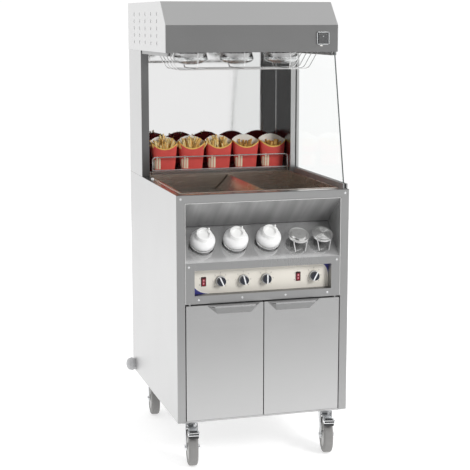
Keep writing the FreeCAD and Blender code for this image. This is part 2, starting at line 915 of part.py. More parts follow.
def lamp_panel():
    panel = box(-half, half, hood_front + sheet, body_depth - sheet, hood_underside, hood_underside + sheet)
    holes = [rod(vec(x, lamp_y, hood_underside - overrun), z_axis, lamp_radius + lamp_hole_gap,
                 sheet + 2 * overrun) for x in lamp_places()]
    return panel.cut(holes)


def heat_lamps():
    """Three reflector bulbs, each in a socket under the hood's top."""
    low = hood_underside - lamp_drop
    shapes = []
    widest = low + lamp_dome
    waist = low + lamp_dome + lamp_shoulder
    neck = low + lamp_length
    waist_radius = lamp_radius - lamp_dome / 4
    for x in lamp_places():
        edges = [
            Part.Arc(vec(0, 0, low), vec(lamp_radius * math.sin(math.pi / 4), 0, low + lamp_dome / 4),
                     vec(lamp_radius, 0, widest)).toShape(),
            Part.LineSegment(vec(lamp_radius, 0, widest), vec(waist_radius, 0, waist)).toShape(),
            Part.LineSegment(vec(waist_radius, 0, waist), vec(lamp_neck_radius, 0, neck)).toShape(),
            Part.LineSegment(vec(lamp_neck_radius, 0, neck), vec(0, 0, neck)).toShape(),
            Part.LineSegment(vec(0, 0, neck), vec(0, 0, low)).toShape(),
        ]
        bulb = Part.Face(Part.Wire(edges)).revolve(vec(0, 0, 0), z_axis, 360)
        socket = rod(vec(0, 0, neck), z_axis, socket_radius, hood_top - sheet - neck)
        shapes.append(bulb.translated(vec(x, lamp_y, 0)))
        shapes.append(socket.translated(vec(x, lamp_y, 0)))
    return Part.makeCompound(shapes)


def lamp_guard():
    """A welded wire basket that hangs under the lamps from the lamp panel."""
    low = hood_underside - guard_drop
    wires = []
    for i in range(guard_long_count):
        share = i / (guard_long_count - 1)
        y = lamp_y - guard_half_depth + 2 * guard_half_depth * share
        points = [vec(guard_middle_x - guard_end_half_width, y, hood_underside),
                  vec(guard_middle_x - guard_half_width, y, low),
                  vec(guard_middle_x + guard_half_width, y, low),
                  vec(guard_middle_x + guard_end_half_width, y, hood_underside)]
        wires.append(bent_wire(points, guard_wire, guard_bend))
    reach = guard_half_depth + guard_bend
    across = guard_low_cross()
    for x in lamp_places():
        points = [vec(x, lamp_y - reach, hood_underside), vec(x, lamp_y - reach, across),
                  vec(x, lamp_y + reach, across), vec(x, lamp_y + reach, hood_underside)]
        wires.append(bent_wire(points, guard_wire, guard_bend))
    reach = guard_end_half_width + guard_bend
    above = box(-reach, reach, lamp_y - reach, lamp_y + reach, hood_underside, hood_underside + overrun)
    return join(wires).cut(above)


def guard_low_cross():
    """The cross wires lie on the long ones and are welded into them by a third of a wire."""
    return hood_underside - guard_drop + guard_wire + guard_wire / 3


def hood_switch_opening(y0, y1, margin):
    z = hood_break - hood_switch_drop
    half_x = hood_switch_width / 2 - hood_bezel_wall / 2 + margin
    half_z = hood_switch_height / 2 - hood_bezel_wall / 2 + margin
    return box(hood_switch_x - half_x, hood_switch_x + half_x, y0, y1, z - half_z, z + half_z)


def hood_switch_bezel():
    """A frame on the hood's front with its hollow body behind the sheet."""
    z = hood_break - hood_switch_drop
    half_x = hood_switch_width / 2
    half_z = hood_switch_height / 2
    front = box(hood_switch_x - half_x, hood_switch_x + half_x, hood_front - hood_bezel_proud, hood_front,
                z - half_z, z + half_z)
    back = hood_switch_opening(hood_front, hood_front + hood_bezel_depth, 0)
    hollow = hood_switch_opening(hood_front - hood_bezel_proud - overrun,
                                 hood_front + hood_bezel_depth - switch_wall, -hood_bezel_wall / 2)
    limits = back.BoundBox
    hole = rod(vec(limits.XMin - overrun, hood_rocker_pivot_y(), z), x_axis, rocker_pin_radius + running_gap,
               limits.XLength + 2 * overrun)
    return join([front, back]).cut([hollow, hole])


def hood_rocker_pivot_y():
    return hood_front + rocker_depth - hood_rocker_proud


def hood_switch():
    z = hood_break - hood_switch_drop
    limits = hood_switch_opening(0, sheet, -hood_bezel_wall / 2).BoundBox
    width = limits.XLength - 2 * hood_rocker_gap
    height = limits.ZLength - 2 * (rocker_cut_gap + seat_gap)
    pin_length = limits.XLength + hood_bezel_wall
    return rocker_shape(hood_switch_x, hood_front - hood_bezel_proud - hood_rocker_proud,
                        hood_rocker_pivot_y(), z, width, height, rocker_root, pin_length)


# Glass side

def glass_x():
    """The middle plane of the right glass."""
    return half - glass_inset


def glass_right():
    x = glass_x()
    low = top + sheet + seat_gap
    high = hood_underside - sheet - seat_gap
    share = (low - top) / (hood_underside - top)
    front_low = glass_front_low + (glass_front_high - glass_front_low) * share
    outline = [(front_low, low), (column_front, low), (column_front, high), (glass_front_high, high)]
    return prism_x(outline, x - glass_thickness / 2, x + glass_thickness / 2)


def channel(x, y0, y1, z0, z1, open_up):
    """A square channel along Y that holds the glass's edge."""
    half_width = glass_thickness / 2 + channel_wall
    slot = glass_thickness / 2 + seat_gap
    body = box(x - half_width, x + half_width, y0, y1, z0, z1)
    if open_up:
        hollow = box(x - slot, x + slot, y0 - overrun, y1 + overrun, z0 + sheet, z1 + overrun)
    else:
        hollow = box(x - slot, x + slot, y0 - overrun, y1 + overrun, z0 - overrun, z1 - sheet)
    return body.cut(hollow)


def glass_channels():
    x = glass_x()
    low = channel(x, channel_front, column_front, top, top + channel_height, True)
    top_low = hood_underside - top_channel_height
    high_right = channel(x, hood_front, column_front, top_low, hood_underside, False)
    high_left = mirrored(high_right)
    return Part.makeCompound([low, high_right, high_left])


# Doors

def door_left():
    left = -opening_half + door_gap
    right = -door_gap / 2
    outer = box(left, right, 0, door_thickness, door_bottom, door_top)
    hollow = box(left + door_skin, right - door_skin, door_skin, door_thickness - door_skin,
                 door_bottom + door_skin, door_top - door_skin)
    window = box(left + door_flange, right - door_flange, door_thickness - door_skin - overrun,
                 door_thickness + overrun, door_bottom + door_flange, door_top - door_flange)
    pan = outer.cut([hollow, window])
    axis_x = -hinge_x
    shapes = [pan]
    for low in (door_bottom, door_top - hinge_block_height):
        shapes.append(box(left, axis_x + hinge_block, 0, door_thickness, low, low + hinge_block_height))
    pin_low = under
    pin_high = fascia_bottom + sheet + overrun
    shapes.append(rod(vec(axis_x, hinge_setback, pin_low), z_axis, hinge_pin_radius, door_bottom - pin_low))
    shapes.append(rod(vec(axis_x, hinge_setback, door_top), z_axis, hinge_pin_radius, pin_high - door_top))
    washer_low = under + base_sheet + seat_gap
    shapes.append(rod(vec(axis_x, hinge_setback, washer_low), z_axis, washer_radius,
                      door_bottom - washer_low))
    near = -lip_from_middle
    far = near - lip_length
    lip = prism_z([(far, 0), (far + lip_taper, -lip_reach), (near - lip_taper, -lip_reach), (near, 0)],
                  door_top - sheet, door_top)
    turn = box(far + lip_taper, near - lip_taper, -lip_reach, -lip_reach + sheet,
               door_top - lip_turn, door_top - sheet)
    return join(shapes + [lip, turn])


# Casters, built about the swivel axis with the wheel towards -Y

def caster_place(name):
    x = caster_x if name.endswith("right") else -caster_x
    y = caster_front_y if name.startswith("front") else caster_rear_y
    return x, y


def set_caster(shape, name):
    x, y = caster_place(name)
    return shape.rotated(vec(0, 0, 0), z_axis, caster_turns[name]).translated(vec(x, y, 0))


def caster_plates():
    """The four bolted top plates, each with its race, kingpin and nut."""
    shapes = []
    plate_low = under - caster_plate_thickness
    race_low = plate_low - race_height
    crown_low = race_low - seat_gap - crown_thickness
    nut_top = crown_low - seat_gap
    half_length = caster_plate_length / 2
    half_width = caster_plate_width / 2
    for name in caster_turns:
        x, y = caster_place(name)
        plate = box(x - half_width, x + half_width, y - half_length, y + half_length, plate_low, under)
        race = rod(vec(x, y, race_low), z_axis, race_radius, race_height)
        pin = rod(vec(x, y, nut_top - kingpin_nut_height), z_axis, kingpin_radius,
                  plate_low - nut_top + kingpin_nut_height)
        nut = rod(vec(x, y, nut_top - kingpin_nut_height), z_axis, kingpin_nut_radius, kingpin_nut_height)
        bolts = []
        bolt_x = half_width - plate_bolt_inset
        bolt_y = half_length - plate_bolt_inset
        for dx in (-bolt_x, bolt_x):
            for dy in (-bolt_y, bolt_y):
                place = vec(x + dx, y + dy, plate_low - plate_bolt_height)
                bolts.append(rod(place, z_axis, plate_bolt_radius, plate_bolt_height))
        shapes.append(join([plate, race, pin, nut] + bolts))
    return Part.makeCompound(shapes)


def caster_fork(name):
    crown_top = under - caster_plate_thickness - race_height - seat_gap
    crown_low = crown_top - crown_thickness
    inner = wheel_width / 2 + fork_side_gap
    outer = inner + fork_leg
    crown = rod(vec(0, 0, crown_low), z_axis, crown_radius, crown_thickness)
    bridge = box(-outer, outer, -fork_front, fork_back - fork_foot_radius, crown_low, crown_top)
    shapes = [crown, bridge]
    for side in (-1, 1):
        x0 = min(side * inner, side * outer)
        outline = [(-fork_front - fork_foot_radius / 2, crown_top),
                   (fork_back - fork_foot_radius, crown_top),
                   (-caster_trail + fork_foot_radius, wheel_radius),
                   (-caster_trail - fork_foot_radius, wheel_radius)]
        shapes.append(prism_x(outline, x0, x0 + fork_leg))
        shapes.append(rod(vec(x0, -caster_trail, wheel_radius), x_axis, fork_foot_radius, fork_leg))
        nut_x = outer if side > 0 else -outer - axle_nut_height
        shapes.append(rod(vec(nut_x, -caster_trail, wheel_radius), x_axis, axle_nut_radius, axle_nut_height))
    shapes.append(rod(vec(-outer, -caster_trail, wheel_radius), x_axis, axle_radius, 2 * outer))
    bore = rod(vec(0, 0, crown_low - overrun), z_axis, kingpin_radius + running_gap,
               crown_thickness + 2 * overrun)
    whole = join(shapes).cut(bore)
    if name.startswith("front"):
        hole = rod(vec(-outer - overrun, -pedal_pivot_back, pedal_pivot_z()), x_axis,
                   pedal_pin_radius + running_gap, 2 * (outer + overrun))
        whole = whole.cut(hole)
    return set_caster(whole, name)


def wheel(name):
    half_width = wheel_width / 2
    body = rod(vec(-half_width, 0, 0), x_axis, wheel_radius, wheel_width)
    rims = [edge for edge in body.Edges if edge.Closed]
    body = body.makeFillet(wheel_fillet, rims)
    for side in (-1, 1):
        x0 = -half_width if side < 0 else half_width - hub_recess
        boss = rod(vec(x0, 0, 0), x_axis, hub_boss_radius, hub_recess)
        body = body.cut(rod(vec(x0, 0, 0), x_axis, hub_radius, hub_recess).cut(boss))
    bore = rod(vec(-half_width - overrun, 0, 0), x_axis, axle_radius + running_gap,
               wheel_width + 2 * overrun)
    body = body.cut(bore)
    return set_caster(body.translated(vec(0, -caster_trail, wheel_radius)), name)


def brake_pedal(name):
    """A two-step foot pedal on a cross pin in the fork, in front of the wheel's top."""
    inner = wheel_width / 2 + fork_side_gap
    pivot_z = pedal_pivot_z()
    pin = rod(vec(-inner - fork_leg, -pedal_pivot_back, pivot_z), x_axis, pedal_pin_radius,
              2 * (inner + fork_leg))
    eye = rod(vec(-pedal_width / 2, -pedal_pivot_back, pivot_z), x_axis, pedal_eye_radius, pedal_width)
    high = pivot_z + pedal_eye_radius
    low = high - pedal_plate
    step_high = low - pedal_pad_height
    step_low = step_high - pedal_step_plate
    half_pad = pedal_pad_width / 2
    pad_back = -pedal_reach + pedal_pad_length
    step_back = -pedal_reach + pedal_step_length
    arm = box(-pedal_width / 2, pedal_width / 2, pad_back, -pedal_pivot_back, low, high)
    plate = box(-half_pad, half_pad, -pedal_reach, pad_back, low, high)
    pad = box(-half_pad, half_pad, -pedal_reach + pedal_plate, pad_back, step_high, low)
    step = box(-half_pad, half_pad, -pedal_reach, step_back, step_low, step_high)
    step_pad = box(-half_pad, half_pad, -pedal_reach + pedal_plate, step_back,
                   step_low - pedal_step_height, step_low)
    return set_caster(join([pin, eye, arm, plate, pad, step, step_pad]), name)


def pedal_pivot_z():
    return under - pedal_pivot_drop


# Small fittings

def side_bumpers():
    start = vec(-half, body_depth - bumper_radius, under + bumper_height)
    left = rod(start, -x_axis, bumper_radius, bumper_length)
    outer_x = -half - bumper_length
    rims = [edge for edge in left.Edges if edge.Closed and abs(edge.CenterOfMass.x - outer_x) < rest_gap]
    left = left.makeFillet(bumper_fillet, rims)
    return Part.makeCompound([left, mirrored(left)])


def cable_gland():
    back = body_depth
    flange_ring = rod(vec(gland_x, back, gland_z), y_axis, gland_flange_radius, gland_flange)
    body = rod(vec(gland_x, back, gland_z), y_axis, gland_body_radius, gland_reach)
    inside = vec(gland_x, back - sheet - gland_nut, gland_z)
    thread = rod(inside, y_axis, gland_thread_radius, sheet + gland_nut)
    nut = rod(inside, y_axis, gland_flange_radius, gland_nut)
    bore = rod(vec(gland_x, back - sheet - gland_nut - overrun, gland_z), y_axis, gland_bore,
               sheet + gland_nut + gland_reach + 2 * overrun)
    return join([flange_ring, body, thread, nut]).cut(bore)


def screws():
    places = [(side * (half - stile_width / 2), top - screw_inset) for side in (-1, 1)]
    places += [(side * (opening_half - screw_inset), (bay_bottom + recess_top) / 2) for side in (-1, 1)]
    low = (recess_bottom + fascia_bottom) / 2
    places += [(share * opening_half, low) for share in fascia_screw_shares]
    shapes = []
    for x, z in places:
        head = rod(vec(x, 0, z), -y_axis, screw_radius, screw_height)
        rims = [edge for edge in head.Edges if edge.Closed and edge.CenterOfMass.y < -rest_gap]
        shapes.append(head.makeFillet(screw_fillet, rims))
    return Part.makeCompound(shapes)


def build():
    left_panel = side_panel()
    left_column = column()
    left_door = door_left()
    pieces = {
        "side_panel_left": left_panel,
        "side_panel_right": mirrored(left_panel),
        "base_plate": base_plate(),
        "rear_cover": rear_cover(),
        "front_frame": front_frame(),
        "fascia": fascia(),
        "worktop": worktop(),
        "wire_holders": wire_holders(),
        "control_plate": control_plate(),
        "control_gear": control_gear(),
        "rocker_left": panel_rocker(first_rocker_x),
        "rocker_right": panel_rocker(second_rocker_x),
        "basin": basin(),
        "insert": insert(),
        "divider": divider(),
        "basin_heater": basin_heater(),
        "column_left": left_column,
        "column_right": mirrored(left_column),
        "mirror_panel": mirror_panel(),
        "carton_shelf": carton_shelf(),
        "carton_rail": carton_rail(),
        "hood_shell": hood_shell(),
        "hood_sides": hood_sides(),
        "lamp_panel": lamp_panel(),
        "heat_lamps": heat_lamps(),
        "lamp_guard": lamp_guard(),
        "hood_switch_bezel": hood_switch_bezel(),
        "hood_switch": hood_switch(),
        "glass_right": glass_right(),
        "glass_channels": glass_channels(),
        "door_left": left_door,
        "door_right": mirrored(left_door),
        "caster_plates": caster_plates(),
        "side_bumpers": side_bumpers(),
        "cable_gland": cable_gland(),
        "screws": screws(),
    }
    for i, x in enumerate(bottle_places()):
        pieces[f"bottle_{i + 1}"] = bottle(x)
    for i, x in enumerate(shaker_places()):
        pieces[f"shaker_{i + 1}"] = shaker(x)
    for i, x in enumerate(knob_places()):
        pieces[f"knob_{i + 1}"] = knob(x, knob_angles[i])
    for i in range(carton_count):
        pieces[f"carton_{i + 1}"] = carton(i)
    for name in caster_turns:
        pieces[f"caster_fork_{name}"] = caster_fork(name)
        pieces[f"wheel_{name}"] = wheel(name)
        if name.startswith("front"):
            pieces[f"brake_pedal_{name}"] = brake_pedal(name)
    return pieces


def main():
    os.makedirs("parts", exist_ok=True)
    pieces = build()
    whole = Part.makeCompound(list(pieces.values()))
    limits = whole.optimalBoundingBox(False, False)
    middle = (limits.YMin + limits.YMax) / 2
    shift = vec(0, -middle, 0)
    for name, shape in pieces.items():
        placed = shape.translated(shift)
        if not placed.isValid():
            print("not valid:", name)
        placed.exportStep(f"parts/{name}.step")
    print("pieces", len(pieces), "front face at y", round(-middle, 3))
    sides = (limits.XMin, limits.XMax, limits.YMin, limits.YMax, limits.ZMin, limits.ZMax)
    print("box", [round(side, 2) for side in sides])


main()
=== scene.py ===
"""Looks of the french fry dump station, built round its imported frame."""

import logging
import math
import random
from dataclasses import dataclass
from enum import Enum
from typing import Callable, Iterable, Sequence

import bmesh
import bpy
from mathutils import Matrix, Vector


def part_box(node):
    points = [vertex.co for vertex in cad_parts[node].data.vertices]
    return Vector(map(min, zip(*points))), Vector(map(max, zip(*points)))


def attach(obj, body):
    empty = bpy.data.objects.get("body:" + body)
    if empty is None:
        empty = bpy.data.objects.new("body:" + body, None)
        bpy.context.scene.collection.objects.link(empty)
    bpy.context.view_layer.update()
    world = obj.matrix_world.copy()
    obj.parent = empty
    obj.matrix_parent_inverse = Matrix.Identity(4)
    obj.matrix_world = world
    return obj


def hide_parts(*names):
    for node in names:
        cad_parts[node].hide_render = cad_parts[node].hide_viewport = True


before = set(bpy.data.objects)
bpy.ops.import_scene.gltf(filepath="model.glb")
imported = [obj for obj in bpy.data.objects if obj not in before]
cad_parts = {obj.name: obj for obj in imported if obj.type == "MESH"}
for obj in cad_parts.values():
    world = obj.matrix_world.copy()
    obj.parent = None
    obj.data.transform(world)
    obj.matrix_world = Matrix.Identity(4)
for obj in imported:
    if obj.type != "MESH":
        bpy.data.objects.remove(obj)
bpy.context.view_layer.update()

LOG = logging.getLogger("fry_station")
MM = 0.001
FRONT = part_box("front_frame")[0].y

Point = Sequence[float]
Colour = tuple[float, float, float]
FaceTest = Callable[[Vector, Vector], bool]


class Axis(Enum):
    """The axis that a grain runs along, or that a flat outline faces."""

    X = 0
    Y = 1
    Z = 2


def spot(x: float, y: float, z: float) -> Vector:
    """A point in the station's frame.

    Args:
        x: millimetres to the right of the middle plane.
        y: millimetres behind the cabinet's front face.
        z: millimetres above the floor.

    Returns:
        The same point in metres.
    """
    return Vector((x * MM, y * MM + FRONT, z * MM))


def stand(x: float, y: float, z: float, tilt: float = 0.0, turn: float = 0.0) -> Matrix:
    """Where a form goes that is built upright, in millimetres, about its own origin.

    Args:
        x: millimetres to the right of the middle plane.
        y: millimetres behind the cabinet's front face.
        z: millimetres above the floor.
        tilt: degrees about X, applied first.
        turn: degrees about Z, applied second.

    Returns:
        The matrix that scales, turns and places the form.
    """
    placed = Matrix.Translation(spot(x, y, z)) @ Matrix.Rotation(math.radians(turn), 4, "Z")
    return placed @ Matrix.Rotation(math.radians(tilt), 4, "X") @ Matrix.Scale(MM, 4)


def arc(centre: Point, radius: float, first: float, last: float, steps: int) -> list[Point]:
    """Points on an arc of a flat outline.

    Args:
        centre: the arc's centre.
        radius: its radius.
        first: the first point's angle in degrees.
        last: the last point's angle in degrees.
        steps: how many parts the arc has.

    Returns:
        The points in order.
    """
    angles = [math.radians(first + (last - first) * i / steps) for i in range(steps + 1)]
    return [(centre[0] + radius * math.cos(a), centre[1] + radius * math.sin(a)) for a in angles]


# Materials


class Value:
    """One output of a shader node, with the operators that shader maths needs."""

    def __init__(self, paint: "Paint", socket: bpy.types.NodeSocket) -> None:
        """Wraps a socket of a paint's node tree."""
        self.paint = paint
        self.socket = socket

    def maths(self, operation: str, *others: "Value | float") -> "Value":
        """Adds one Math node on this value.

        Args:
            operation: the Math node's operation.
            others: the values or numbers that follow this one.

        Returns:
            The node's result.
        """
        values = dict(enumerate([self, *others]))
        return self.paint.node("ShaderNodeMath", {"operation": operation}, values)

    def __add__(self, other: "Value | float") -> "Value":
        """This value plus another."""
        return self.maths("ADD", other)

    __radd__ = __add__

    def __mul__(self, other: "Value | float") -> "Value":
        """This value times another."""
        return self.maths("MULTIPLY", other)

    __rmul__ = __mul__

    def __sub__(self, other: "Value | float") -> "Value":
        """This value less another."""
        return self.maths("SUBTRACT", other)

    def __rsub__(self, other: float) -> "Value":
        """A number less this value."""
        return (self * -1.0) + other

    def __gt__(self, other: "Value | float") -> "Value":
        """One where this value is greater, otherwise zero."""
        return self.maths("GREATER_THAN", other)

    def __lt__(self, other: "Value | float") -> "Value":
        """One where this value is less, otherwise zero."""
        return self.maths("LESS_THAN", other)


class Paint:
    """A node-based material while it is made."""

    def __init__(self, name: str) -> None:
        """Starts a material with one Principled surface."""
        self.material = bpy.data.materials.new(name)
        self.material.use_nodes = True
        self.tree = self.material.node_tree
        self.surface = self.tree.nodes["Principled BSDF"]

    def connect(self, target: bpy.types.NodeSocket, value: "Value | float | Point") -> None:
        """Gives a socket a link or a fixed value."""
        if isinstance(value, Value):
            self.tree.links.new(value.socket, target)
        else:
            target.default_value = value

    def node(
        self,
        kind: str,
        settings: dict[str, object] | None = None,
        values: dict[str | int, object] | None = None,
        output: str | int = 0,
    ) -> Value:
        """Adds a node.

        Args:
            kind: the node's type.
            settings: its own settings; "stops" gives a ramp its places and colours.
            values: the values or links of its inputs.
            output: the output that is wanted.

        Returns:
            The output as a value.
        """
        made = self.tree.nodes.new(kind)
        for key, setting in (settings or {}).items():
            if key == "stops":
                self.set_stops(made.color_ramp, setting)
            else:
                setattr(made, key, setting)
        for key, value in (values or {}).items():
            self.connect(made.inputs[key], value)
        return Value(self, made.outputs[output])

    def set_stops(self, ramp: bpy.types.ColorRamp, stops: list[tuple[float, Colour]]) -> None:
        """Gives a colour ramp its places and colours."""
        for i, (place, colour) in enumerate(stops):
            stop = ramp.elements[i] if i < 2 else ramp.elements.new(place)
            stop.position = place
            stop.color = (*colour, 1.0)

    def dress(self, **values: "Value | float | Point") -> None:
        """Sets sockets of the Principled surface; an underscore in a name is a space."""
        for name, value in values.items():
            self.connect(self.surface.inputs[name.replace("_", " ")], value)

    def place(self, scale: Point = (1.0, 1.0, 1.0), source: str = "Object") -> Value:
        """The piece's own coordinates, stretched by a Mapping node."""
        where = self.node("ShaderNodeTexCoord", output=source)
        return self.node("ShaderNodeMapping", values={"Vector": where, "Scale": scale})

    def noise(self, where: Value, scale: float, detail: float = 2.0) -> Value:
        """Smooth noise from 0 to 1."""
        values = {"Vector": where, "Scale": scale, "Detail": detail}
        return self.node("ShaderNodeTexNoise", values=values)

    def mix(self, share: "Value | float", first: object, second: object) -> Value:
        """Blends two colours."""
        pair = (first, second)
        colours = [(*c, 1.0) if isinstance(c, tuple) and len(c) == 3 else c for c in pair]
        values = {0: share, 6: colours[0], 7: colours[1]}
        return self.node("ShaderNodeMix", {"data_type": "RGBA"}, values, output=2)

    def ramp(self, value: Value, *stops: tuple[float, Colour]) -> Value:
        """A colour for each height of a value."""
        return self.node("ShaderNodeValToRGB", {"stops": list(stops)}, {0: value})

    def bump(self, height: Value, strength: float, reach: float) -> Value:
        """A surface normal from a height, reach in metres."""
        values = {"Height": height, "Strength": strength, "Distance": reach}
        return self.node("ShaderNodeBump", values=values)


def tinted(colour: Colour, share: float) -> Colour:
    """A colour made lighter or darker by a share."""
    return tuple(min(1.0, channel * share) for channel in colour)


@dataclass(frozen=True)
class Steel:
    """Sheet steel with a brushed grain and faint smudges."""

    name: str
    tone: float = 0.62
    roughness: float = 0.3
    grain: Axis = Axis.Z
    streaks: float = 0.05
    warmth: float = 0.0
    waviness: float = 0.0
    bands: float = 0.0
    metal: float = 1.0

    def material(self) -> bpy.types.Material:
        """Builds the material.

        Returns:
            The finished material.
        """
        paint = Paint(self.name)
        scale = [420.0, 420.0, 420.0]
        scale[self.grain.value] = 5.0
        fine_scale = [3 * s for s in scale]
        grain = paint.noise(paint.place(scale), 1.0, 3.0)
        fine = paint.noise(paint.place(fine_scale), 1.0, 2.0)
        smudge = paint.noise(paint.place(), 7.0, 3.0)
        colour = (self.tone * (1 + self.warmth), self.tone, self.tone * (1 - self.warmth))
        streak = (grain - 0.5) * (2 * self.streaks) + (fine - 0.5) * self.streaks
        share = streak + (smudge - 0.5) * 0.06 + 0.5
        if self.bands:
            band = paint.noise(paint.place((26.0, 2.0, 2.0)), 1.0, 2.0)
            share = (band - 0.5) * self.bands + share
        base = paint.mix(share, tinted(colour, 0.7), tinted(colour, 1.3))
        rough = (grain - 0.5) * 0.12 + (smudge - 0.5) * 0.14 + self.roughness
        height = grain * 0.6 + fine * 0.4
        normal = paint.bump(height, 0.06, 0.0004)
        if self.waviness:
            wave = {"Height": paint.noise(paint.place((2.2, 2.2, 2.2)), 1.0, 1.0), "Normal": normal}
            wave.update(Strength=self.waviness, Distance=0.01)
            normal = paint.node("ShaderNodeBump", values=wave)
        paint.dress(Base_Color=base, Metallic=self.metal, Roughness=rough, Normal=normal)
        return paint.material


@dataclass(frozen=True)
class Coat:
    """A moulded, painted or printed surface with a fine texture."""

    name: str
    colour: Colour
    roughness: float = 0.4
    mottle: float = 0.06
    mottle_scale: float = 60.0
    bumps: float = 0.05
    bump_scale: float = 900.0
    metallic: float = 0.0
    coat: float = 0.0

    def material(self) -> bpy.types.Material:
        """Builds the material.

        Returns:
            The finished material.
        """
        paint = Paint(self.name)
        where = paint.place()
        cloud = paint.noise(where, self.mottle_scale, 3.0)
        grit = paint.noise(where, self.bump_scale, 2.0)
        base = paint.mix(cloud, tinted(self.colour, 1 - self.mottle),
                         tinted(self.colour, 1 + self.mottle))
        rough = (cloud - 0.5) * 0.15 + self.roughness
        paint.dress(Base_Color=base, Roughness=rough, Metallic=self.metallic)
        paint.dress(Normal=paint.bump(grit, self.bumps, 0.0005), Coat_Weight=self.coat)
        return paint.material


@dataclass(frozen=True)
class Pane:
    """Clear glass as a thin film: it lets light through and mirrors more at a glance."""

    name: str
    tint: Colour
    shine: float = 0.04
    glance: float = 0.7
    roughness: float = 0.02
    ripple: float = 0.0
    ripple_scale: float = 60.0

    def material(self) -> bpy.types.Material:
        """Builds the material.

        Returns:
            The finished material.
        """
        paint = Paint(self.name)
        paint.tree.nodes.remove(paint.surface)
        out = paint.tree.nodes["Material Output"]
        shine_values = {"Color": (1.0, 1.0, 1.0, 1.0), "Roughness": self.roughness}
        weight_values = {"Blend": 0.5}
        if self.ripple:
            height = paint.noise(paint.place(), self.ripple_scale, 1.0)
            ripple = paint.bump(height, self.ripple, 0.002)
            shine_values["Normal"] = ripple
            weight_values["Normal"] = ripple
        clear = paint.node("ShaderNodeBsdfTransparent", values={"Color": (*self.tint, 1.0)})
        shine = paint.node("ShaderNodeBsdfGlossy", values=shine_values)
        weight = paint.node("ShaderNodeLayerWeight", values=weight_values, output="Facing")
        share = weight.maths("POWER", 5.0) * self.glance + self.shine
        mixed = paint.node("ShaderNodeMixShader", values={0: share, 1: clear, 2: shine})
        paint.tree.links.new(mixed.socket, out.inputs["Surface"])
        return paint.material


@dataclass(frozen=True)
class Fried:
    """Fried potato: golden with darker patches and blisters."""

    name: str
    pale: Colour
    brown: Colour

    def material(self) -> bpy.types.Material:
        """Builds the material.

        Returns:
            The finished material.
        """
        paint = Paint(self.name)
        where = paint.place()
        patch = paint.noise(where, 70.0, 3.0)
        crust = paint.noise(where, 500.0, 4.0)
        toast = patch * 0.7 + crust * 0.3
        base = paint.ramp(toast, (0.36, self.pale), (0.62, self.brown))
        paint.dress(Base_Color=base, Roughness=(crust - 0.5) * 0.3 + 0.55)
        paint.dress(Normal=paint.bump(crust, 0.4, 0.0006), Subsurface_Weight=0.08)
        paint.surface.inputs["Subsurface Radius"].default_value = (0.004, 0.002, 0.001)
        return paint.material


@dataclass(frozen=True)
class PrintedBoard:
    """Carton board with a generic print of upright bars at the lower left of its front."""

    name: str
    ground: Colour
    ink: Colour
    bars: tuple[tuple[float, float], ...] = ((0.12, 0.36), (0.21, 0.47), (0.30, 0.40))
    bar_half: float = 0.034

    def material(self) -> bpy.types.Material:
        """Builds the material; the print follows the wall's own UV map.

        Returns:
            The finished material.
        """
        paint = Paint(self.name)
        place = paint.node("ShaderNodeTexCoord", output="UV")
        across = paint.node("ShaderNodeSeparateXYZ", values={0: place}, output="X")
        up = paint.node("ShaderNodeSeparateXYZ", values={0: place}, output="Y")
        printed = None
        for middle, high in self.bars:
            side = (across - middle).maths("ABSOLUTE")
            cap = (up - high).maths("MAXIMUM", 0.0) * 0.9
            reach = (side * side + cap * cap).maths("SQRT")
            bar = (reach < self.bar_half) * (up > 0.05)
            printed = bar if printed is None else printed.maths("MAXIMUM", bar)
        where = paint.place()
        cloud = paint.noise(where, 40.0, 3.0)
        fibre = paint.noise(where, 1500.0, 2.0)
        ground = paint.mix(cloud, tinted(self.ground, 0.88), tinted(self.ground, 1.12))
        base = paint.mix(printed, ground, self.ink)
        rough = (cloud - 0.5) * 0.15 + 0.36
        paint.dress(Base_Color=base, Roughness=rough, Normal=paint.bump(fibre, 0.08, 0.0003))
        return paint.material


